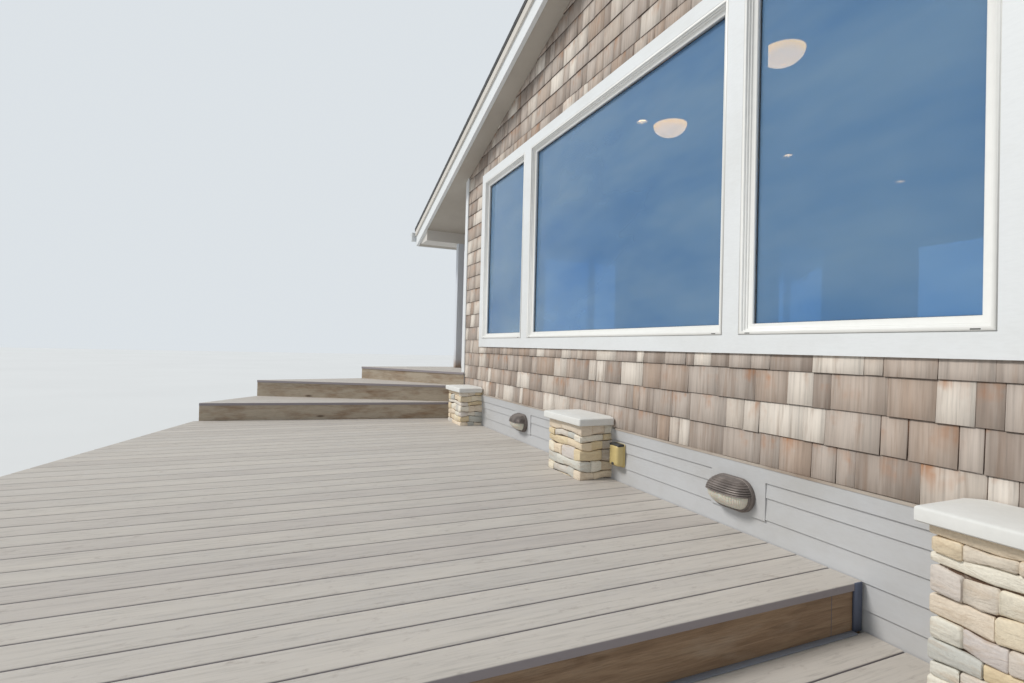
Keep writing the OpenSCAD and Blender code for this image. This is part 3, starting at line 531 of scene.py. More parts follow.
# %% Metals, stone, felt and glass
def metal(name, bright, dull, roughness, metallic=0.9):
    """A brushed or powdered metal: two tones by a noise, and a roughness that varies with it."""
    f = Finish(name, roughness, Metallic=metallic)
    cloud = f.noise((14, 14, 14), detail=7)
    return f.finish(f.ramp(cloud, (0.35, dull), (0.65, bright)), cloud, 0.08, 0.0006,
                    f.ramp(cloud, (0.3, roughness * 0.8), (0.7, roughness * 1.25)))


BRONZE = metal("dark_bronze", (134, 125, 120), (104, 96, 92), 0.5, 0.35)
FAN_METAL = metal("brushed_fan_metal", (150, 146, 142), (112, 108, 105), 0.35)
HANDLE = metal("satin_lever", (186, 182, 174), (150, 146, 138), 0.28)


def ledge_stone():
    """A tone for each stone, veined and chalked in level layers, over a fine grit."""
    f = Finish("ledge_stone", 0.9, grained=True)
    layers = f.noise((9, 9, 34), detail=7, rough=0.7, distortion=0.6)
    grit = f.noise((120, 120, 120), detail=4)
    body_tone = f.ramp(f.own("tone"), (0.0, (92, 70, 55)), (0.04, (92, 70, 55)), (0.05, (238, 230, 212)),
                       (0.2, (226, 207, 170)), (0.36, (236, 220, 198)), (0.52, (216, 210, 202)),
                       (0.66, (202, 203, 197)), (0.8, (241, 235, 220)), (0.92, (212, 204, 200)),
                       (1.0, (232, 219, 194)))
    veined = f.mix(f.ramp(layers, (0.5, 0.0), (0.72, 0.6)), body_tone, (190, 166, 138))
    pale = f.mix(f.ramp(layers, (0.22, 0.7), (0.42, 0.0)), veined, (240, 235, 222))
    gritty = f.shade(0.5, pale, grit, (0.3, 0.84), (0.6, 1.04))
    return f.finish(gritty, f.maths("ADD", layers, f.maths("MULTIPLY", grit, 0.2)), 0.9, 0.008)


def roof_felt():
    """Mineral grains as fine cells, a tone for each tab, and broad pale patches."""
    f = Finish("roof_felt", 0.95)
    grains = f.add("TexVoronoi", Vector=f.place((420, 420, 420)), Scale=1.0, output=COLOUR)
    speckle = f.ramp(grains, (0.1, (44, 43, 43)), (0.5, (70, 68, 66)), (0.9, (98, 94, 90)))
    patch = f.noise((1.3, 1.3, 1.3), detail=5)
    tabbed = f.shade(0.7, speckle, f.own("tone"), (0.0, 0.72), (1.0, 1.2))
    patched = f.mix(f.ramp(patch, (0.4, 0.0), (0.8, 0.3)), tabbed, (104, 102, 92))
    return f.finish(patched, grains, 0.5, 0.001)


def edge_metal():
    """Coated metal: two near blacks mixed by a broad noise."""
    f = Finish("black_edge_metal", 0.5, Metallic=0.2)
    cloud = f.noise((6, 6, 6), detail=6)
    return f.finish(f.ramp(cloud, (0.35, (38, 37, 38)), (0.7, (62, 60, 59))), cloud, 0.05, 0.0005)


def window_glass():
    """Glass that lets two thirds of the light through. Its blue colour in soft, uneven patches is a
    painted reflection of the sky, and its reflections are tinted blue as well.
    """
    f = Finish("window_glass", 0.02, IOR=1.52, Transmission_Weight=0.66,
               Specular_Tint=(150, 190, 232))
    # Painted reflection: the cloudy blue, from deep to pale, stands for the sky seen in the glass.
    depth = f.noise((0.5, 0.5, 1.3), detail=4)
    return f.finish(f.ramp(depth, (0.3, (114, 170, 226)), (0.7, (180, 214, 242))))


def lit_glass(name, colour, edge, glow, strength, low_glow=None):
    """A glass lit from inside. With a low glow, the light fades to it where the glass faces down."""
    f = Finish(name, 0.25, Subsurface_Weight=0.15, Emission_Color=glow, Emission_Strength=strength)
    if low_glow:
        down = f.maths("MULTIPLY", f.facing(2), -1.0)
        f.tree.links.new(f.ramp(down, (0.25, glow), (0.7, low_glow)), f.shader.inputs["Emission Color"])
    cloud = f.noise((12, 12, 20), detail=4)
    return f.finish(f.ramp(cloud, (0.3, edge), (0.7, colour)), cloud, 0.1, 0.001)


def planks():
    """A brick pattern of planks, 130 mm wide and 1.2 m long, with fibres along them."""
    f = Finish("floor_planks", 0.45)
    rows = f.add("TexBrick", Vector=f.place((1, 1, 1)), Color1=(142, 104, 68), Color2=(120, 84, 52),
                 Mortar=(58, 40, 26), Scale=1.0, Mortar_Size=0.0015, Brick_Width=1.2, Row_Height=0.13)
    fibres = f.noise((2.2, 60, 20), detail=6)
    return f.finish(f.shade(0.6, rows, fibres, (0.3, 0.75), (0.7, 1.15)), fibres, 0.2, 0.001)


STONE, FELT, EDGE, GLASS, FLOOR_WOOD = ledge_stone(), roof_felt(), edge_metal(), window_glass(), planks()
SHADE_GLASS = lit_glass("ribbed_cream_glass", (216, 212, 200), (190, 185, 172), (255, 244, 220), 0.03)
BOWL_GLASS = lit_glass("warm_bowl_glass", (250, 226, 190), (232, 190, 140), (255, 164, 70), 4.3,
                       low_glow=(232, 158, 98))
LAMP_GLASS = lit_glass("downlight_lens", (255, 240, 214), (250, 226, 190), (255, 176, 110), 8.5)
DRIP = painted("weathered_strip", (186, 176, 165), (140, 120, 104), 0.85, dirt=0.8, lift=0.3)
print("metal, stone, felt and glass ready")

# %% [markdown]
# ## Shingle by shingle
# Cedar shingles come in random widths, here from about 65 to 250 mm. A shingler keeps
# the joints of one course clear of those below, which is left to chance here. Each is
# a thin wedge: 13 mm at the butt, 4 mm where the next course covers it. A texture
# could fake the joints, but the wedges catch the light along every butt, so each one
# is modelled, as a five-point outline carried across its width. A thin dark backing
# lies behind the gaps. Courses stop at the window casings and under the soffit.

# %% Where each shingle goes
BUTT, TIP, TUCK, MEAN_WIDTH, LEAST = 0.013, 0.004, 0.012, 0.148, 0.006
BACKING_BUTT, BACKING_TIP = 0.0035, 0.0015


def cut_widths(start, end):
    """Joints between two ends: random widths, scaled so that they fill the length exactly."""
    count = max(1, round((end - start) / MEAN_WIDTH))
    widths = rng.choice([0.5, 0.72, 0.95, 1.15, 1.4, 1.65], count) * rng.uniform(0.9, 1.1, count)
    return start + np.concatenate([[0], np.cumsum(widths)]) * (end - start) / widths.sum()


def course_runs(start, end, foot, holes):
    """The runs of one course: it breaks at the sides of each hole (left, right, sill, head), and
    inside a hole's width its foot or its top is cut to the hole's edge, or the run is left out."""
    ends = sorted({start, end, *[side for h in holes if h[2] < foot + COURSE and h[3] > foot
                                 for side in h[:2] if start < side < end]})
    for left, right_end in zip(ends[:-1], ends[1:]):
        low, high = foot, foot + COURSE + TUCK
        for hole in holes:
            if hole[0] < (left + right_end) / 2 < hole[1]:
                if hole[2] <= low and hole[3] >= foot + COURSE:
                    high = low
                elif low < hole[2] < foot + COURSE:
                    high = hole[2]
                elif low < hole[3] < foot + COURSE:
                    low = hole[3]
        if high - low > 0.012:
            yield left, right_end, low, high


def shingled(wall, start, end, foot, holes, limit):
    """All the shingles of a wall. Each wedge's outline in (out, height) is carried across its width,
    and its top is cut to the limit, a function of the place along the wall."""
    rows, backs = [], []
    for course in range(math.ceil((float(np.max(limit(np.linspace(start, end, 401)))) - foot) / COURSE)):
        at = foot + course * COURSE
        for left, right_end, low, high in course_runs(start, end, at, holes):
            halves = ((left, min(right_end, 0.0)), (max(left, 0.0), right_end))
            for a, b in [half for half in halves if half[1] - half[0] > 0.01]:
                joints = cut_widths(a, b)
                rows += [(p, q, low, high, at) for p, q in zip(joints[:-1], joints[1:])]
                backs.append((a, b, low, high, at))
    rows, backs = np.array(rows), np.array(backs)
    gap = rng.choice([0.0005, 0.0022, 0.0040, 0.0058], len(rows), p=[0.3, 0.2, 0.28, 0.22])
    rows[:, 0] += gap / 2
    rows[:, 1] -= gap / 2
    jitter = rng.uniform(-0.0018, 0.0018, len(rows)) * (rows[:, 2] == rows[:, 4])
    butt = BUTT - rng.uniform(0, 0.0035, len(rows))
    lean = rng.uniform(-0.0012, 0.0012, len(rows))
    everything = np.concatenate([rows, backs])
    foot_z = np.concatenate([rows[:, 2] + jitter, backs[:, 2] + 0.004])
    thick = np.concatenate([butt, np.full(len(backs), BACKING_BUTT)])
    thin = np.concatenate([np.full(len(rows), TIP), np.full(len(backs), BACKING_TIP)])
    lean = np.concatenate([lean, np.zeros(len(backs))])
    tone = np.concatenate([rng.uniform(0.07, 1.0, len(rows)), np.zeros(len(backs))])
    sides = everything[:, :2].copy()
    room = np.stack([limit(sides[:, 0]), limit(sides[:, 1])], 1) - foot_z[:, None]
    keep = room.max(1) > LEAST
    other_way = np.where(np.abs(np.diff(room)) < 1e-9, 1, room[:, ::-1] - room)
    share = np.clip((LEAST - room) / other_way, 0, 1)
    sides = np.where(room < LEAST, sides + share * (sides[:, ::-1] - sides), sides)
    sides, foot_z, thick, thin, lean, tone, everything = [
        value[keep] for value in (sides, foot_z, thick, thin, lean, tone, everything)]
    u = np.repeat(sides[:, :, None], 5, 2)
    top = np.minimum(everything[:, 3, None], limit(sides))
    face_top = thick[:, None] + (thin - thick)[:, None] * (top - foot_z[:, None]) / (COURSE + TUCK)
    butt_face = thick[:, None] + lean[:, None] * np.array([-1.0, 1.0])
    flat = np.zeros_like(top)
    out = np.stack([flat, butt_face - 0.0015, butt_face, face_top, flat], -1)
    foot_two = np.broadcast_to(foot_z[:, None], top.shape)
    z = np.stack([foot_two, foot_two, foot_two + 0.002, top, top], -1)
    points = on_wall(wall, u, z, out - BOARD_T)
    rise = (z - everything[:, 4][:, None, None]) / COURSE
    seed = rng.uniform(0, 60, (len(u), 1, 1))
    grain = np.stack([u + seed, z + seed, out], -1)
    tones = np.broadcast_to(tone[:, None, None], rise.shape)
    return carry(points, grain=grain.reshape(-1, 3), tone=tones.ravel(), rise=np.clip(rise, 0, 1).ravel())


# %% Shingles on all four walls
NARROW_W, WIDE_W, WIDE_AT, MULLION = 1.030, 2.320, 0.012, 0.115
GROUP_W = 2 * NARROW_W + WIDE_W + 2 * MULLION
casing_top = WINDOW_FOOT + WINDOW_H + CASING_W
front_hole = (-GROUP_W / 2 - CASING_W, GROUP_W / 2 + CASING_W, WINDOW_FOOT - CASING_W, casing_top)
SIDE_W = 1.200


def window_hole(at):
    """A window's casing on its wall: left, right, sill and head."""
    return (at - SIDE_W / 2 - CASING_W, at + SIDE_W / 2 + CASING_W, WINDOW_FOOT - CASING_W, casing_top)


DOOR_Y, DOOR_W, DOOR_H, JAMB = HOUSE_L / 2, 0.914, 2.032, 0.032
door_half = DOOR_W / 2 + JAMB
door_hole = (DOOR_Y - door_half - CASING_W, DOOR_Y + door_half + CASING_W, PORCH - 0.1,
             FLOOR + DOOR_H + JAMB + CASING_W)
side_windows = (HOUSE_L * 0.22, HOUSE_L * 0.78)
back_windows = (-HALF_W / 2, HALF_W / 2)
inner = HALF_W - CASING_W


def eave_limit(u):
    """The side walls end at the soffit's corner, level all along."""
    return np.full(np.shape(u), CORNER_Z)


for wall, holes in (("front", [front_hole]), ("back", [window_hole(x) for x in back_windows])):
    make_piece(wall + "_wall_shingles", [shingled(wall, -inner, inner, SHINGLE_FOOT, holes, soffit)],
               CEDAR, [wall + "_shingles"])
side_bodies = []
near_end, far_end = BOARD_T + CASING_W, HOUSE_L - BOARD_T - CASING_W
for wall in ("left", "right"):
    holes = [window_hole(y) for y in side_windows] + ([door_hole] if wall == "left" else [])
    side_bodies.append(shingled(wall, near_end, far_end, PORCH, holes, eave_limit))
make_piece("side_wall_shingles", side_bodies, CEDAR, ["side_shingles"])

# %% [markdown]
# ## Windows
# A vinyl window frame is an extrusion with several steps, mitred and welded at its
# corners. Its steps throw the fine grey lines that frame each pane in the photograph.
# The extrusion is one outline of inset and depth, carried round the rectangle as a
# closed ring, so all four mitres come out right. A black seal holds the pane, and a
# slot near each end of the sill lets water out.

# %% Window frames, seals and weep slots
CLEAR = 0.0003
front_windows = ((-(GROUP_W - NARROW_W) / 2, NARROW_W), (WIDE_AT, WIDE_W),
                 ((GROUP_W - NARROW_W) / 2, NARROW_W))
all_windows = ([("front", at, width) for at, width in front_windows]
               + [("back", at, SIDE_W) for at in back_windows]
               + [(wall, at, SIDE_W) for wall in ("left", "right") for at in side_windows])
FRAME_OUTLINE = np.array([
    (0.0, -0.084), (0.0, -0.010), (0.0030, -0.010), (0.0030, 0.0012), (0.0042, 0.0028), (0.0152, 0.0028),
    (0.0170, 0.0014), (0.0172, -0.0070), (0.0184, -0.0085), (0.0226, -0.0088), (0.0236, -0.0100),
    (0.0238, -0.0180), (0.0250, -0.0195), (0.0300, -0.0198), (0.0312, -0.0210), (0.0314, -0.0275),
    (0.0328, -0.0290), (0.0520, -0.0298), (0.0540, -0.0318), (0.0540, -0.0558), (0.0420, -0.0558),
    (0.0420, -0.0662), (0.0540, -0.0662), (0.0540, -0.084)])


def window_rings(windows, outline):
    """An outline of (inset, depth) carried round each window's rectangle: a corner's point lies at
    (half width - inset, half height - inset), and the depth counts out from the casing's face."""
    rings = []
    for wall, at, width in windows:
        u = np.array([-1, 1, 1, -1])[:, None] * (width / 2 - CLEAR - outline[:, 0]) + at
        z = (np.array([-1, -1, 1, 1])[:, None] * (WINDOW_H / 2 - CLEAR - outline[:, 0])
             + WINDOW_FOOT + WINDOW_H / 2)
        rings.append(on_wall(wall, u, z, np.broadcast_to(outline[:, 1], u.shape)))
    return carry(np.array(rings), ring=True)


for name, windows, node in (("window_frames_front", all_windows[:3], "front_frames"),
                            ("window_frames_sides", all_windows[3:], "house_frames")):
    make_piece(name, [window_rings(windows, FRAME_OUTLINE)], VINYL, [node])
seal = np.array([(0.0520, -0.0556), (0.0520, -0.0528), (0.0542, -0.0520), (0.0562, -0.0532),
                 (0.0568, -0.0556)])
spacer = np.array([(0.0535, -0.0661), (0.0535, -0.0698), (0.0580, -0.0698), (0.0580, -0.0661)])
SLOT_INSET, SLOT_HALF = 0.057, 0.015
slots = []
for sign in (-1, 1):
    for wall, at, width in all_windows:
        middle = sign * (width / 2 - SLOT_INSET)
        ends = [on_wall(wall, at + (middle - SLOT_HALF), WINDOW_FOOT + 0.0062, 0.0016),
                on_wall(wall, at + (middle + SLOT_HALF), WINDOW_FOOT + 0.0112, 0.0030)]
        slots.append(eased_boxes(np.min(ends, 0), np.max(ends, 0), 0.0005))
make_piece("glazing_seals", [window_rings(all_windows, seal), window_rings(all_windows, spacer)],
           SEAL)
make_piece("weep_slots", slots, SEAL)

# %% [markdown]
# ## Deck boards
# The decks are laid with 140 mm boards and 6 mm gaps, square to the wall, and each
# winder step has its boards laid along its own nose. A board is a flat bar with
# rounded upper edges, cut off where it meets the deck's outline, so its two ends are
# often on a slant, and it is notched round a stone pier. Ten places across each board
# are enough: at each, the outline says where the board starts and ends.

# %% Boards cut to an outline
PITCH, GAP, THICK, ROUNDING, LEAST_BOARD, PLACES = 0.146, 0.006, 0.028, 0.004, 0.02, 10


def spans(outline, across):
    """Where lines of one x cross a closed outline: the lowest and highest y of all its edges there."""
    a, b = outline, np.roll(outline, -1, 0)
    run = np.where(np.abs(b[:, 0] - a[:, 0]) < 1e-9, np.nan, b[:, 0] - a[:, 0])
    share = (across[..., None] - a[:, 0]) / run
    y = np.where((share >= 0) & (share <= 1), a[:, 1] + share * (b[:, 1] - a[:, 1]), np.nan)
    return np.nanmin(y, -1), np.nanmax(y, -1)


def decked(outline, top, angle=0.0, notches=(), ahead=0.0):
    """Boards over an outline. In axes turned by the angle, board number n ends at nose + ahead -
    n * pitch, the first one is cut at the nose, and each place across a board runs from the
    outline's lowest to its highest y."""
    c, s = math.cos(math.radians(angle)), math.sin(math.radians(angle))
    turn = np.array([[c, -s], [s, c]])
    local = np.asarray(outline, float) @ turn.T
    nose, end = local[:, 0].max() - 1e-5, local[:, 0].min() + 1e-4
    high = nose + ahead - PITCH * np.arange(math.ceil((nose + ahead - end) / PITCH))
    low, high = np.maximum(high - (PITCH - GAP), end), np.minimum(high, nose)
    high, low = high[high - low > LEAST_BOARD], low[high - low > LEAST_BOARD]
    width = high - low
    middle = low[:, None] + width[:, None] * np.array([0.2, 0.4, 0.6, 0.8])
    for x0, x1, _ in notches:
        for side in (x0, x1):
            crossed = ((side > low + 0.008) & (side < high - 0.008))[:, None]
            both = np.array([side - 0.0004, side + 0.0004])
            cut_there = np.concatenate([middle[:, [0, 3]], np.tile(both, (len(low), 1))], 1)
            middle = np.sort(np.where(crossed, cut_there, middle), 1)
    rim = ROUNDING * np.array([0.0, 0.3, 1.0])
    across = np.concatenate([low[:, None] + rim, middle, high[:, None] - rim[::-1]], 1)
    drop = ROUNDING * np.array([1.0, 0.3, 0, 0, 0, 0, 0, 0, 0.3, 1.0])
    start, stop = spans(local, across)
    for x0, x1, front in notches:
        stop = np.where((across > x0) & (across < x1), np.minimum(stop, front), stop)
    x = np.concatenate([across, across[:, ::-1]], 1)
    z = np.concatenate([np.tile(top - drop, (len(low), 1)), np.full(across.shape, top - THICK)], 1)
    ends = [np.concatenate([y, y[:, ::-1]], 1) for y in (start, stop)]
    plan = np.stack([np.stack([x, y], -1) for y in ends], 1)
    world_plan = plan @ turn
    points = placed(world_plan[..., 0], world_plan[..., 1], np.broadcast_to(z[:, None], plan.shape[:3]))
    seed = rng.uniform(0, 50, (len(low), 1, 1))
    grain = np.stack([plan[..., 0] + seed, plan[..., 1] + seed, points[..., 2]], -1)
    tone = np.broadcast_to(rng.uniform(0, 1, (len(low), 1, 1)), plan.shape[:3])
    made = carry(points, grain=grain.reshape(-1, 3), tone=tone.ravel())
    last = 2 * PLACES - 1
    index = np.arange(points.shape[0] * 2 * 2 * PLACES).reshape(-1, 2, 2 * PLACES)
    i = np.arange(PLACES - 1)
    quads = np.stack([i, i + 1, last - 1 - i, last - i], 1)
    made["faces"] = [made["faces"][0], index[:, 0][:, quads].reshape(-1, 4),
                     index[:, 1][:, quads[:, ::-1]].reshape(-1, 4)]
    return made


# %% [markdown]
# ## Decks, winder steps and porches
# The front edge of the decks falls away from the wall at a slant, and the winder steps
# turn from that slant towards the porch: three noses of different length fan out from
# one pivot at the wall's corner. Each outline below is only its corners, and the same
# function lays the boards in all of them, so the steps meet without a fitted joint.

# %% Outlines of the decks, steps and porches
NOSING, SLANT = 0.008, math.tan(math.radians(17.5))
DECK_EDGE, LOWER_EDGE, BACK_GAP, TREAD_GOING = 1.895, 4.000, -0.003, 0.280
STEP_Z = (DECK, 0.672, 0.864, PORCH)
PIER_X, PIER_W, PIER_D = np.array([-2.475, 0.0, 2.475]), 0.448, 0.238
notches = [(x - PIER_W / 2 - 0.001, x + PIER_W / 2 + 0.001, -PIER_D - 0.001) for x in PIER_X]
pivot = np.array([-2.870, BACK_GAP])
winders = [(7.5, 2.800), (26.0, 2.505), (56.0, 1.745)]
tips = [pivot - length * np.array([math.sin(math.radians(a)), math.cos(math.radians(a))])
        for a, length in winders]


def slant_y(x):
    """The slanted front edge of the decks: it starts 37.5 mm before the first winder's tip, and
    y falls by tan 17.5 degrees for each metre to the right."""
    return tips[0][1] - 0.0375 - SLANT * (x - tips[0][0])


out_x, low_x = DECK_EDGE + NOSING, LOWER_EDGE + NOSING
upper = [pivot, (out_x, BACK_GAP), (out_x, slant_y(out_x) - NOSING),
         (tips[0][0], slant_y(tips[0][0]) - NOSING), tips[0]]
lower = [(DECK_EDGE, BACK_GAP), (low_x, BACK_GAP), (low_x, slant_y(low_x) - NOSING),
         (DECK_EDGE, slant_y(DECK_EDGE) - NOSING)]
laid = {"upper_deck": [decked(upper, DECK, notches=notches, ahead=0.006)],
        "lower_deck": [decked(lower, LOWER_DECK, notches=notches, ahead=0.087)]}
treads = []
for k, (a, length) in enumerate(winders):
    shift = NOSING * np.array([math.cos(math.radians(a)), -math.sin(math.radians(a))])
    outline = [pivot, pivot + shift, tips[k] + shift, *tips[k:], np.array([-BOX_X, BACK_GAP])]
    treads.append(decked(outline, STEP_Z[k + 1], angle=a))
    front = BACK_GAP - (3 - k) * TREAD_GOING - NOSING
    straight = [(HALF_W + NOSING, front), (LOWER_EDGE, front), (LOWER_EDGE, BACK_GAP),
                (HALF_W + NOSING, BACK_GAP)]
    treads.append(decked(straight, STEP_Z[k], angle=90.0))
laid["step_treads"] = treads
porch = [(HALF_W - BACK_GAP, 0.0), (BOX_X, 0.0), (BOX_X, HOUSE_L), (HALF_W - BACK_GAP, HOUSE_L)]
mirrored = [(-x, y) for x, y in porch]
laid["porch_decks"] = [decked(porch, PORCH, 90.0), decked(mirrored, PORCH, 90.0)]
for name, node in (("upper_deck_boards", "upper_deck"), ("lower_deck_boards", "lower_deck"),
                   ("step_boards", "step_treads"), ("porch_boards", "porch_decks")):
    make_piece(name, laid[node], DECK_BOARD, [node], smooth=50)

# %% [markdown]
# ## Trim at the risers
# Where the riser of the upper deck meets the house, a dark painted trim closes its
# end and a thin dark line marks the butt joint of its last board. A bluish grey strip
# along the riser's foot is a painted shadow, the shade that the riser casts on the
# lower deck. They are small eased boxes, set on the riser's face.

# %% End trim, painted foot shadow and butt joint
def plan_boxes(low, high, ease=0.002, along=2, tone=0.5):
    """Eased boxes given in the house's own plan."""
    return moved(eased_boxes(low, high, ease, along, tone), shift=(0, -ORIGIN_Y, 0))


riser_x, riser_end = DECK_EDGE - 0.0001, slant_y(DECK_EDGE)
end_trim = plan_boxes((riser_x, -0.050, LOWER_DECK), (1.9045, -0.004, DECK - 0.0005))
butt_joint = plan_boxes((riser_x, -0.1645, LOWER_DECK), (1.8956, -0.1625, DECK - THICK), 0.0002)
make_piece("riser_trims", [end_trim, butt_joint], DARK_TRIM)
# Painted shadow: a bluish grey strip on the lower deck, along the riser's foot, stands for the riser's
# shade.
foot_shadow = plan_boxes((riser_x, riser_end, LOWER_DECK), (1.921, -0.050, LOWER_DECK + 0.006), along=1)
make_piece("riser_foot_shadow", [foot_shadow], FOOT_SHADOW)

# %% [markdown]
# ## Ledge stone piers
# The piers are faced with split ledge stones, dry-stacked in uneven courses, cream to
# tan with a few grey ones, and their joints are thin, wavy and dark brown. A joint is
# one function of the place on the plan, shared by the stones under and over it, so
# the stones stay tightly stacked however much the joint wanders. At the corners the
# courses take turns, one with the front stone running through and the next with the
# side stone.

# %% Ledge stones
PIER_TOP, STONE_DEEP, STONE_COURSES, STONE_LEAST = 0.839, 0.085, 15, 0.07
ROUGH, JOINT, END_SOFT = 0.005, 0.0018, 0.007


def wavy(joint, x, y):
    """A joint's height: level + w * (7 mm * sin(16 x + 13 y + p) + 4 mm * sin(41 x - 35 y + q))."""
    level, p, q, w = np.moveaxis(joint, -1, 0)[..., None, None]
    return level + w * (0.007 * np.sin(16 * x + 13 * y + p) + 0.004 * np.sin(41 * x - 35 * y + q))


def rough_bars(low, high, along, under, over):
    """Split stones. The outline |across|^9 + |up|^9 = 1 is stretched to each stone and carried along
    it, drawn in at both ends and pushed in and out by up to 5 mm at each station. Its height runs
    from the joint under the stone to the joint over it."""
    across = 1 - along
    count, stations, facets = len(low), 7, 12
    angle = np.linspace(0, 2 * np.pi, facets, endpoint=False) + np.pi / facets
    round_pair = np.stack([np.cos(angle), np.sin(angle)])
    shape = np.sign(round_pair) * np.abs(round_pair) ** 0.22
    length = (high - low)[:, along]
    soft = np.minimum(END_SOFT, length * 0.2)
    steps = np.stack([0 * soft, 0.3 * soft, soft, length / 2,
                      length - soft, length - 0.3 * soft, length], 1)
    size = np.array([0.82, 0.95, 1.0, 1.0, 1.0, 0.95, 0.82])[None, :, None]
    middle, half = (low + high) / 2, (high - low) / 2
    points = np.empty((count, stations, facets, 3))
    fade = np.array([0.0, 0.5, 1, 1, 1, 0.5, 0.0])[None, :, None]
    push = rng.uniform(-1, 1, (count, stations, 1)) * fade
    points[..., along] = low[:, along, None, None] + steps[:, :, None]
    points[..., across] = (middle[:, None, None, across] + ROUGH * push
                           + half[:, None, None, across] * shape[0] * (0.95 + 0.05 * size))
    bed, top = (wavy(joint, points[..., 0], points[..., 1]) for joint in (under, over))
    points[..., 2] = np.clip(bed + JOINT + (0.5 + 0.5 * shape[1] * size) * (top - bed - 2 * JOINT),
                             0, PIER_TOP)
    seed = rng.uniform(0, 30, (count, 1, 1, 1))
    return carry(points, grain=(points + seed).reshape(-1, 3),
                 tone=np.repeat(rng.uniform(0.05, 1.0, count), stations * facets))


def pier_stones(x):
    """Courses of 32 to 79 mm, cut at random into stones on the front and on both sides."""
    heights = rng.uniform(0.036, 0.088, STONE_COURSES)
    levels = np.concatenate([[0], np.cumsum(heights)]) * PIER_TOP / heights.sum()
    wander = np.ones(len(levels))
    wander[[0, -1]] = 0
    joints = np.column_stack([levels, rng.uniform(0, 6.3, (len(levels), 2)), wander])
    front, sides = [], []
    for course in range(len(heights)):
        through = course % 2 == 0
        inset = 0.0 if through else STONE_DEEP
        start, stop = x - PIER_W / 2 + inset, x + PIER_W / 2 - inset
        cuts = np.sort(rng.uniform(start + 0.08, stop - 0.08, rng.integers(1, 3)))
        cuts = [start, *[c for i, c in enumerate(cuts) if i == 0 or c - cuts[i - 1] > STONE_LEAST], stop]
        for a, b in zip(cuts[:-1], cuts[1:]):
            face = -PIER_D + rng.uniform(0, 0.010)
            front.append((a + 0.001, face, b - 0.001, -PIER_D + STONE_DEEP, course))
        for sign in (-1, 1):
            begin = -PIER_D + (STONE_DEEP if through else 0.0)
            cut = rng.uniform(begin + STONE_LEAST, -0.04)
            for a, b in ((begin, cut), (cut, BOARD_T)):
                edges = sorted([x + sign * (PIER_W / 2 - rng.uniform(0, 0.010)),
                                x + sign * (PIER_W / 2 - STONE_DEEP)])
                sides.append((edges[0], a + 0.001, edges[1], b - 0.001, course))
    made = [plan_boxes((x - PIER_W / 2 + 0.02, -PIER_D + 0.02, 0.0),
                       (x + PIER_W / 2 - 0.02, BOARD_T, PIER_TOP), tone=0.0)]
    for rows, along in ((np.array(front), 0), (np.array(sides), 1)):
        at = rows[:, 4].astype(int)
        stones = rough_bars(rows[:, 0:2], rows[:, 2:4], along, joints[at], joints[at + 1])
        made.append(moved(stones, shift=(0, -ORIGIN_Y, 0)))
    return made


make_piece("ledge_stones", [b for x in PIER_X for b in pier_stones(x)], STONE,
           ["stone_piers"], smooth=60)

# %% [markdown]
# ## Cast caps
# Each pier wears a cast cap with softly rounded edges and a top that falls slightly to
# all sides. A stack of rounded rectangles, each at its own height and inset, gives
# both in one go.

# %% Pier caps
def rounded_rectangle(x0, x1, y0, y1, radius, facets=6):
    """An outline whose corners are arcs: corner centre + radius * (cos a, sin a), a quarter turn each."""
    quarter = np.linspace(0, np.pi / 2, facets)
    arcs = []
    for i, (x, y) in enumerate(((x1 - radius, y1 - radius), (x0 + radius, y1 - radius),
                                (x0 + radius, y0 + radius), (x1 - radius, y0 + radius))):
        angle = quarter + i * np.pi / 2
        arcs.append(np.stack([x + radius * np.cos(angle), y + radius * np.sin(angle)], 1))
    return np.concatenate(arcs)


def stacked(levels):
    """Closed outlines one over another: each level is an outline of x and y, and its height."""
    rings = np.array([np.column_stack([outline, np.full(len(outline), z)]) for outline, z in levels])
    return carry(rings[None])


def pier_cap(x):
    """Inset and height pairs give the cap's section, from its underside up over the rounded edge."""
    over = 0.030
    section = ((0.004, 0), (0.0, 0.004), (0.0, 0.038), (0.0018, 0.0425), (0.006, 0.0455),
               (0.014, 0.0470), (0.060, 0.054))
    levels = [(rounded_rectangle(x - PIER_W / 2 - over + i, x + PIER_W / 2 + over - i,
                                 -PIER_D - over + i, -CLEAR, max(0.004, 0.012 - i * 0.4)), PIER_TOP + z)
              for i, z in section]
    return moved(stacked(levels), shift=(0, -ORIGIN_Y, 0))


make_piece("cast_caps", [pier_cap(x) for x in PIER_X], CAP, ["pier_caps"], smooth=40)

# %% [markdown]
# ## Half-hooded bulkhead lights
# Low on the skirt sits a pair of oval lights, 260 by 160 mm. The upper half is a hood
# of dark bronze louvres that throw the light down, and the lower half is a ribbed
# cream glass inside a raised rim. The hood is a dome sliced by level: each slice is
# an arc whose reach follows the oval, and each louvre starts full at its foot and
# draws in towards the next, so the steps and their shadows come of themselves.

# %% The lights
LIGHT_X, LIGHT_Z = (-1.2055, 1.2695), 0.658
LIGHT_A, LIGHT_B, LIGHT_D, LIGHT_BASE = 0.130, 0.080, 0.104, 0.022


def oval(inset):
    """The light's outline, drawn in by an inset: two half circles joined by straight sides."""
    return rounded_rectangle(-LIGHT_A + inset, LIGHT_A - inset, -LIGHT_B + inset, LIGHT_B - inset,
                             LIGHT_B - inset - TINY, facets=9)


def facing_front(part, x, y, z):
    """Turns a shape made in (u, v, out) so that out points away from the front wall."""
    return moved(part, turn=[[1, 0, 0], [0, 0, -1], [0, 1, 0]], shift=(x, y - ORIGIN_Y, z))


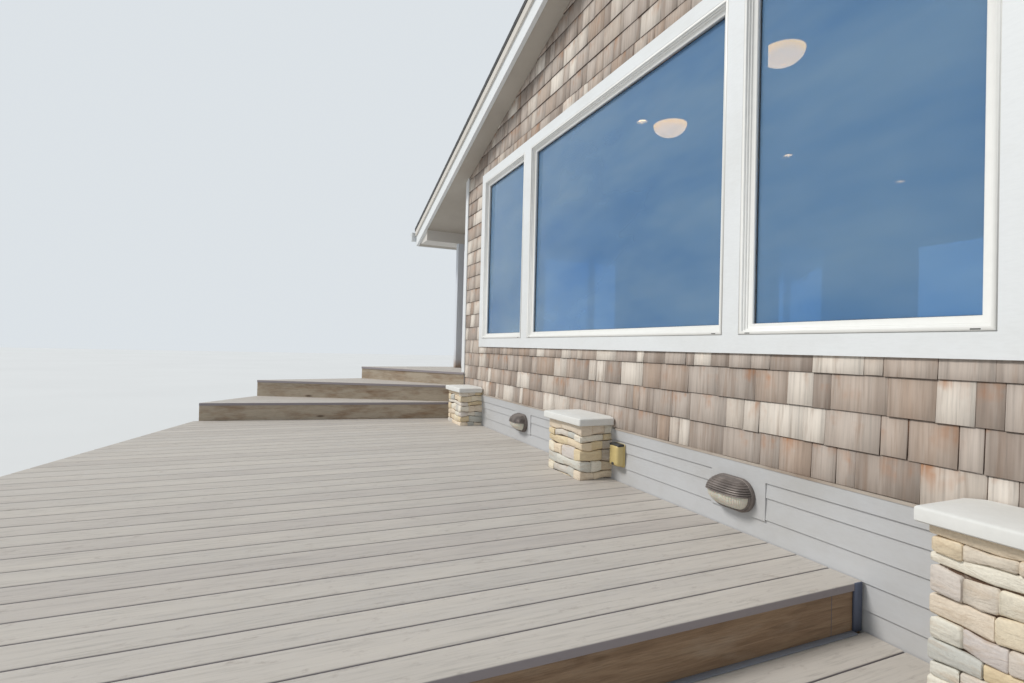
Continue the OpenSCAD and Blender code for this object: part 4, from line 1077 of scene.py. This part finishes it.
def dome_slices(slices, inset, deep, ribs=0, facets=36):
    """Closed slices of a dome. At height h an arc reaches L = (a - b) + sqrt(b^2 - h^2) to each side
    and D = deep * sqrt(1 - (h / b)^2) out, times the slice's scale, and the flat back closes it."""
    a, b = LIGHT_A - inset, LIGHT_B - inset
    angle = np.linspace(0, np.pi, facets)
    rings = []
    for h, scale in slices:
        left = math.sqrt(max(0.0, 1 - (h / b) ** 2))
        reach, depth = (a - b) + b * left, deep * left * scale
        ripple = 1 + (0.022 * np.cos(ribs * angle) if ribs else 0)
        u = reach * (0.4 + 0.6 * scale) * np.sign(np.cos(angle)) * np.abs(np.cos(angle)) ** 0.72
        out = LIGHT_BASE - 0.004 + np.maximum(depth, 0.001) * np.sin(angle) ** 0.62 * ripple
        rings.append(np.stack([u, np.full(facets, h), out], 1))
    return carry(np.array(rings)[None])


BASE_STEPS = ((0.001, 0), (0, 0.002), (0, 0.015), (0.002, 0.0195), (0.006, LIGHT_BASE),
              (0.012, LIGHT_BASE))
LIP = ((0.0075, 0.018), (0.0075, 0.031), (0.009, 0.0335), (0.012, 0.0335), (0.0135, 0.031),
       (0.0135, 0.018))
LOUVRE_FOOT, LOUVRE_STEP = 0.005, 0.0099
base = stacked([(oval(i), out) for i, out in BASE_STEPS])
lip_rings = [np.column_stack([oval(i), np.full(len(oval(i)), out)]) for i, out in LIP]
rim_ring = carry(np.stack(lip_rings, 1)[None], ring=True)
louvres = []
for k in range(7):
    foot_h, head_h = LOUVRE_FOOT + k * LOUVRE_STEP, LOUVRE_FOOT + (k + 1) * LOUVRE_STEP
    louvres += [(foot_h, 0.975), (foot_h + 0.0012, 1.0), (foot_h + 0.0055, 0.99), (head_h, 0.90)]
hood = dome_slices(louvres + [(0.0752, 0.5)], 0.003, LIGHT_D - LIGHT_BASE)
shade = dome_slices([(h, 1.0) for h in np.linspace(0.004, -0.0655, 15)], 0.013, 0.072, ribs=44, facets=265)
make_piece("light_hoods",
           [facing_front(part, x, 0.0, LIGHT_Z) for x in LIGHT_X for part in (base, rim_ring, hood)],
           BRONZE, ["light_bodies"], smooth=32)
make_piece("light_shades", [facing_front(shade, x, 0.0, LIGHT_Z) for x in LIGHT_X],
           SHADE_GLASS, ["light_glasses"], smooth=60)

# %% [markdown]
# ## The outlet beside the middle pier
# Beside the middle pier a small outlet sits under a cover of yellowed clear plastic
# with a dark hinged top. A stack of rounded rectangles makes the flange and the bubble.

# %% Outlet cover
def bubble(width, height, steps):
    """Rounded rectangles over one another, each drawn in by its inset, at its own depth."""
    return stacked([(rounded_rectangle(-width / 2 + i, width / 2 - i, -height / 2 + i, height / 2 - i,
                                       max(0.004, 0.014 - i * 0.3)), out) for i, out in steps])


OUTLET_X = 0.322
flange = bubble(0.110, 0.150, ((0.001, 0), (0, 0.001), (0, 0.006), (0.002, 0.008)))
cover = bubble(0.098, 0.136, ((0, 0.007), (0, 0.040), (0.003, 0.049), (0.009, 0.0555), (0.020, 0.0585)))
make_piece("outlet_bubble", [facing_front(part, OUTLET_X, 0.0027, LIGHT_Z) for part in (flange, cover)],
           OUTLET, ["outlet_cover"], smooth=45)
lid = plan_boxes((OUTLET_X - 0.051, -0.050, LIGHT_Z + 0.058),
                 (OUTLET_X + 0.051, 0.0, LIGHT_Z + 0.074), 0.004)
latch = plan_boxes((OUTLET_X - 0.012, -0.0585, LIGHT_Z - 0.060),
                   (OUTLET_X + 0.012, -0.052, LIGHT_Z - 0.044))
make_piece("outlet_lid", [lid, latch], SEAL)

# %% [markdown]
# ## Ceiling fans and downlights
# Two ceiling fans hang behind the glass on long rods, each with a warm bowl under its
# motor, and small recessed lights dot the sloped ceiling. Canopies, motors and bowls
# are lathe shapes. A blade is a rounded outline given a thickness and a twelve-degree
# pitch, and five of them go round the motor.

# %% Fans
FAN_X, FAN_Y, ROD, BLADES, BLADE_TILT = (-0.7502, 0.4598), 1.235, 0.420, 5, math.radians(12)
DOWNLIGHT_X = 1.485
CANOPY = [(0.065, 0), (0.065, -0.012), (0.058, -0.030), (0.036, -0.050), (0.018, -0.058)]
COUPLING = [(0.016, 0.150), (0.030, 0.140), (0.046, 0.128), (0.046, 0.116)]
MOTOR = [(0.060, 0.0), (0.098, -0.014), (0.115, -0.036), (0.115, -0.088), (0.104, -0.112),
         (0.120, -0.124), (0.158, -0.142), (0.164, -0.158), (0.156, -0.172)]
FINIAL = [(0.012, -0.276), (0.012, -0.279), (0.005, -0.2798), (TINY, -0.2799)]
TRIM_OUTLINE = [(0.045, 0.056), (0.049, 0.014), (0.053, 0.004), (0.060, 0.0006), (0.0735, 0.0),
                (0.0748, 0.0015), (0.0748, 0.097)]
LENS_OUTLINE = [(TINY, 0.026), (0.040, 0.030), (0.044, 0.036), (0.044, 0.055)]


def fan(x):
    """One fan's metal, from its canopy down: lathe outlines as (radius, height) about the fan's axis."""
    top, hub = float(soffit(abs(x) + CANOPY[0][0])), float(soffit(x)) - ROD
    axis = (x, FAN_Y - ORIGIN_Y)
    rod = [(0.0105, 0), (0.0105, top - 0.05 - hub)]
    parts = [turned(CANOPY, (*axis, top - 0.001)), turned(rod, (*axis, hub), 16),
             turned(COUPLING, (*axis, hub), 32), turned(MOTOR, (*axis, hub))]
    for a in np.radians([45, 135, 225, 315]):
        hanger_foot = (axis[0] + 0.036 * math.cos(a), axis[1] + 0.036 * math.sin(a), hub)
        parts.append(turned([(0.004, -0.006), (0.004, 0.120)], hanger_foot, 8))
    return parts


def blades(x):
    """Five blades: a rounded outline of 395 by 120 mm, 7 mm thick, pitched and set round the hub."""
    hub = float(soffit(x)) - ROD - 0.065
    blade = stacked([(rounded_rectangle(0.135 + i, 0.530 - i, -0.060 + i, 0.060 - i, 0.034 - i), z)
                     for i, z in ((0.0015, -0.0035), (0, -0.002), (0, 0.002), (0.0015, 0.0035))])
    iron = eased_boxes((0.095, -0.018, -0.0075), (0.190, 0.018, -0.0030), 0.001, along=0)
    c, s = math.cos(BLADE_TILT), math.sin(BLADE_TILT)
    pitched = np.array([[1, 0, 0], [0, c, -s], [0, s, c]])
    made = []
    for turn_by in np.radians(360 // BLADES * np.arange(BLADES) + 18):
        ca, sa = math.cos(turn_by), math.sin(turn_by)
        turn = np.array([[ca, -sa, 0], [sa, ca, 0], [0, 0, 1]]) @ pitched
        made += [moved(part, turn, (x, FAN_Y - ORIGIN_Y, hub)) for part in (blade, iron)]
    return made


make_piece("fan_motors", [part for x in FAN_X for part in fan(x)], FAN_METAL,
           ["ceiling_fans"], smooth=35)
make_piece("fan_blades", [part for x in FAN_X for part in blades(x)],
           painted("dark_fan_blades", (84, 74, 68), (64, 54, 48), 0.5, stretch=(3, 3, 3)), smooth=35)
around = np.linspace(0, np.pi / 2, 12)
bowl = [(0.148 * math.cos(a) + TINY, -0.174 - 0.102 * math.sin(a)) for a in around[:-1]]
bowl_outline = [(0.150, -0.1715), *bowl, *FINIAL]
make_piece("fan_bowl_glasses", [turned(bowl_outline, (x, FAN_Y - ORIGIN_Y, float(soffit(x)) - ROD))
                                for x in FAN_X], BOWL_GLASS, ["fan_bowls"], smooth=50)
downlight_places = [(x, y - ORIGIN_Y, float(soffit(x)) - 0.012)
                    for x in (-DOWNLIGHT_X, DOWNLIGHT_X) for y in HOUSE_L * np.array([0.2, 0.5, 0.8])]
make_piece("downlight_rings", [turned(TRIM_OUTLINE, place) for place in downlight_places],
           TRIM_RING, ["downlights"], smooth=35)
make_piece("downlight_lenses", [turned(LENS_OUTLINE, place) for place in downlight_places],
           LAMP_GLASS, smooth=35)

# %% [markdown]
# ## The porch door
# The photograph doesn't show a door, so the one on the left porch is a plain panelled
# one: two stiles and a middle one, three rails, four raised panels, a lever and three
# hinges. A raised panel is an eased box with a wide ease, just as its bevel looks.

# %% Door leaf and its furniture
def door_boxes(y0, y1, z0, z1, x0, x1, ease):
    """An upright box of the door's leaf, on the left wall."""
    return plan_boxes((-x1, y0, z0), (-x0, y1, z1), ease)


STILE, BOTTOM_RAIL, MIDDLE_HALF, ROUND_EASE = 0.115, 0.235, 0.05, 0.002
leaf0, leaf1 = HALF_W - BOARD_T - 0.075, HALF_W - BOARD_T - 0.030
dy0, dy1 = DOOR_Y - DOOR_W / 2 + CLEAR, DOOR_Y + DOOR_W / 2 - CLEAR
dz0, dz1 = FLOOR + 0.0203, FLOOR + DOOR_H - CLEAR
leaf = [door_boxes(dy0, dy0 + STILE, dz0, dz1, leaf0, leaf1, ROUND_EASE),
        door_boxes(dy1 - STILE, dy1, dz0, dz1, leaf0, leaf1, ROUND_EASE),
        door_boxes(DOOR_Y - MIDDLE_HALF, DOOR_Y + MIDDLE_HALF, dz0, dz1,
                   leaf0 + 0.001, leaf1 - 0.001, ROUND_EASE)]
rails = ((dz0, dz0 + BOTTOM_RAIL), (dz0 + 0.86, dz0 + 1.02), (dz1 - STILE, dz1))
for z0, z1 in rails:
    leaf.append(plan_boxes((-leaf1 + 0.0005, dy0 + 0.1, z0), (-leaf0 - 0.0005, dy1 - 0.1, z1), along=1))
for z0, z1 in ((rails[0][1], rails[1][0]), (rails[1][1], rails[2][0])):
    for y0, y1 in ((dy0 + STILE, DOOR_Y - MIDDLE_HALF), (DOOR_Y + MIDDLE_HALF, dy1 - STILE)):
        leaf.append(door_boxes(y0 + 0.004, y1 - 0.004, z0 + 0.004, z1 - 0.004,
                               leaf0 + 0.006, leaf1 - 0.006, 0.012))
make_piece("door_leaf", leaf, DOOR, ["porch_door"])
SIDEWAYS = np.array([[0, 0, -1], [0, 1, 0], [1, 0, 0]])
ROSE = [(0.026, 0), (0.026, 0.006), (0.020, 0.010), (0.011, 0.012), (0.010, 0.042)]
HINGE_HIGH = 0.09
lever_y, lever_z = dy1 - 0.062, dz0 + 0.94
fittings = [moved(turned(ROSE, (0, 0, 0), 32), SIDEWAYS, (-leaf1, lever_y - ORIGIN_Y, lever_z)),
            plan_boxes((-leaf1 - 0.048, lever_y - 0.120, lever_z - 0.008),
                       (-leaf1 - 0.034, lever_y + 0.012, lever_z + 0.008), 0.004, along=1)]
for z in (dz0 + 0.2, dz0 + 1.0, dz1 - 0.2):
    fittings.append(turned([(0.007, 0), (0.007, HINGE_HIGH)],
                           (-leaf1 - 0.005, dy0 + 0.002 - ORIGIN_Y, z - 0.045), 12))
make_piece("door_lever_and_hinges", fittings, HANDLE, smooth=35)

# %% [markdown]
# ## Porch posts
# The porch posts are sawn timber with eased corners, painted, and stained brown at the
# foot where rain splashes. Each is a stack of rounded squares, the lowest drawn in by
# its eased edge, and the stain follows the height in the finish.

# %% Posts
def post_paint():
    """White paint that turns brown towards the foot: the height plus a noise sets how far."""
    f = Finish("porch_post_paint", 0.55)
    height = f.add("SeparateXYZ", f.add("TexCoord", output=OBJECT), output=2)
    rough_edge = f.noise((12, 12, 4), detail=6)
    level = f.maths("ADD", height, f.maths("MULTIPLY", rough_edge, -0.12))
    clean = f.mix(f.ramp(f.noise((3, 3, 1), detail=5), (0.4, 0.0), (0.8, 0.4)),
                  (214, 219, 226), (192, 198, 206))
    foot = f.ramp(f.maths("SUBTRACT", level, PORCH - 0.06), (0.02, 0.85), (0.12, 0.25), (0.30, 0.0))
    return f.finish(f.mix(foot, clean, (150, 124, 100)), rough_edge, 0.1, 0.001)


POST_W, POST_IN, post_top = 0.092, 0.295, float(soffit(BEAM_X)) - 0.144
post_y = POST_IN + (HOUSE_L - 2 * POST_IN - POST_W) * np.arange(4) / 3
posts = []
for x in (BEAM_X, -BEAM_X - POST_W):
    for y in post_y:
        shape = [(rounded_rectangle(x + i, x + POST_W - i, y + i - ORIGIN_Y, y + POST_W - i - ORIGIN_Y,
                                    0.006, 4), z)
                 for i, z in ((0.002, PORCH), (0, PORCH + 0.002), (0, post_top))]
        posts.append(stacked(shape))
make_piece("eased_posts", posts, post_paint(), ["porch_posts"], smooth=40)

# %% [markdown]
# ## Roof tabs, ridge tabs and gutter straps
# The roof is laid with felt tabs in courses of 143 mm. A plain slope with a pattern
# would look bare along its edges, so each tab is a thin wedge like a wall shingle, in
# two directions of its own, up the slope and out of it. Folded tabs overlap along the
# ridge, and straps hold the gutter's lip every 600 mm.

# %% Roof tabs and ridge tabs
LEAN, RISE = math.cos(ROOF_ANGLE), math.sin(ROOF_ANGLE)
OVERHANG, COVER_T, EAVE_X, TAB, TAB_LAP, TABS_WIDE = 0.229, 0.248, 4.638, 0.143, 0.012, 26
roof_y0, roof_y1 = -OVERHANG, HOUSE_L + OVERHANG


def on_roof(sign, s, y, out):
    """Points on a slope: s runs up from the eave, out is square to the slope over the covering."""
    x = EAVE_X - s * LEAN + out * RISE
    z = CORNER_Z + SLOPE * (HALF_W - (EAVE_X - s * LEAN)) + COVER_T / LEAN + out * LEAN
    return placed(sign * x, y, z)


def roof_tabs(sign):
    """Tabs of random width in courses up the slope: each a wedge up to 5.5 mm thick at its foot."""
    length, tabs = EAVE_X / LEAN, []
    for course in range(math.ceil(length / TAB)):
        s0, s1 = course * TAB, min((course + 1) * TAB + TAB_LAP, length)
        joints = (np.arange(1, TABS_WIDE) + rng.uniform(-0.3, 0.3, TABS_WIDE - 1)) / TABS_WIDE
        cuts = np.sort(np.concatenate([[0, 1], joints]))
        y = roof_y0 + cuts * (roof_y1 - roof_y0)
        tabs += [(s0 + rng.uniform(0, 0.002), s1, a + 0.001, b - 0.001) for a, b in zip(y[:-1], y[1:])]
    tabs = np.array(tabs)
    butt = rng.uniform(0.0035, 0.0055, len(tabs))[:, None, None]
    s = np.stack([tabs[:, 0], tabs[:, 0], tabs[:, 1], tabs[:, 1]], 1)[:, None].repeat(2, 1)
    out = np.concatenate([0 * butt, butt, 0 * butt + 0.0015, 0 * butt], 2).repeat(2, 1)
    y = np.stack([tabs[:, 2], tabs[:, 3]], 1)[:, :, None].repeat(4, 2)
    return carry(on_roof(sign, s, y, out), tone=np.repeat(rng.uniform(0, 1, len(tabs)), 8))


make_piece("roof_tabs", [roof_tabs(1), roof_tabs(-1)], FELT)
apex = EAVE_X / LEAN
FOLD_REACH, FOLD_LONG = 0.150, 0.165
folds = []
for y in np.arange(roof_y0, roof_y1 - 0.02, TAB):
    stop = min(y + FOLD_LONG, roof_y1)
    section = []
    for at, high in ((y, 0.0096), (stop, 0.0048)):
        low = apex - FOLD_REACH
        left = on_roof(-1, np.array([low, low, apex]), at, np.array([0.001, high, high]))
        back = on_roof(1, np.array([apex, low, low, apex]), at, np.array([high, high, 0.001, 0.001]))
        section.append(np.concatenate([left[:2], [(left[2] + back[0]) / 2], back[1:]]))
    folds.append(carry(np.array(section)[None], tone=float(rng.uniform(0, 1))))
make_piece("ridge_tabs", folds, FELT, ["ridge_cap"])

# %% Gutter straps
GUTTER_X, GUTTER_LIP, ROOF_T, STRAP_STEP, STRAP_W = 4.636, 4.759, 0.230, 0.6, 0.022
GUTTER_TOP = CORNER_Z + SLOPE * (HALF_W - 4.635) + ROOF_T / LEAN - 0.045
straps = []
for side in (1, -1):
    for y in np.arange(-0.1, HOUSE_L + 0.15, STRAP_STEP):
        edges = sorted((side * GUTTER_X, side * GUTTER_LIP))
        straps.append(plan_boxes((edges[0], y, GUTTER_TOP - 0.010),
                                 (edges[1], y + STRAP_W, GUTTER_TOP - 0.007), 0.0008, along=0))
make_piece("gutter_straps", straps, GUTTER)

# %% [markdown]
# ## Finishes on the parts that keep their shape
# Walls, boards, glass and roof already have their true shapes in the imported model, so
# they only need a finish. The roof's underside is soffit paint outside and a pale
# ceiling inside, and the place in the house decides which.

# %% Soffit outside, ceiling inside
def roof_underside():
    """Inside is where |x| and |y| both lie within the walls: two comparisons, multiplied."""
    f = Finish("soffit_and_ceiling", 0.75)
    place = f.add("TexCoord", output=OBJECT)
    x = f.maths("ABSOLUTE", f.add("SeparateXYZ", place))
    y = f.maths("ABSOLUTE", f.maths("ADD", f.add("SeparateXYZ", place, output=1), ORIGIN_Y - HOUSE_L / 2))
    inside = f.maths("MULTIPLY", f.maths("LESS_THAN", x, HALF_W - 0.1),
                     f.maths("LESS_THAN", y, HOUSE_L / 2 - 0.1))
    mottle = f.noise((1.6, 1.6, 1.6), detail=6)
    brush = f.noise((90, 14, 90), detail=4)
    outside = f.ramp(mottle, (0.35, (192, 186, 177)), (0.7, (176, 169, 160)))
    colour = f.mix(inside, outside, f.ramp(mottle, (0.3, (214, 208, 196)), (0.7, (200, 193, 180))))
    return f.finish(colour, brush, 0.1, 0.0008)


kept = {
    WHITE: ["corner_boards", "front_casing", "house_casings", "door_frame", "rake_boards", "eave_fascias"],
    LINING: ["front_wall", "back_wall", "left_wall", "right_wall"],
    SKIRT: ["front_skirt", "back_skirt", "porch_frames"],
    RISER: ["upper_deck_frame", "lower_deck_frame"], STEP_RISER: ["step_risers"],
    GLASS: ["front_glass", "house_glass"], roof_underside(): ["roof_left", "roof_right"],
    CONCRETE: ["foundation"], FLOOR_WOOD: ["house_floor"], DRIP: ["drip_strips"], SHADED_TRIM: ["shadow_boards"],
    SOFFIT: ["eave_beams"], EDGE: ["roof_covering"], GUTTER: ["gutters"]}
for finish, names in kept.items():
    for name in names:
        slots = nodes[name].data.materials
        slots.clear()
        slots.append(finish)
print(sum(len(names) for names in kept.values()), "CAD nodes keep their shape")

# %% [markdown]
# ## Floor
# A plain pale floor carries the house. It is stage, not part of the object.

# %% Floor
stage_floor = Finish("studio_floor", 0.95)
pale = stage_floor.noise((0.2, 0.2, 0.2), detail=2)
floor_finish = stage_floor.finish(stage_floor.ramp(pale, (0.3, (222, 224, 225)), (0.7, (226, 228, 229))))
floor = bpy.data.objects.new("studio_floor", bpy.data.meshes.new("studio_floor"))
floor.data.from_pydata([(-70, -70, 0), (70, -70, 0), (70, 70, 0), (-70, 70, 0)], [], [(0, 1, 2, 3)])
floor.data.materials.append(floor_finish)
scene.collection.objects.link(floor)
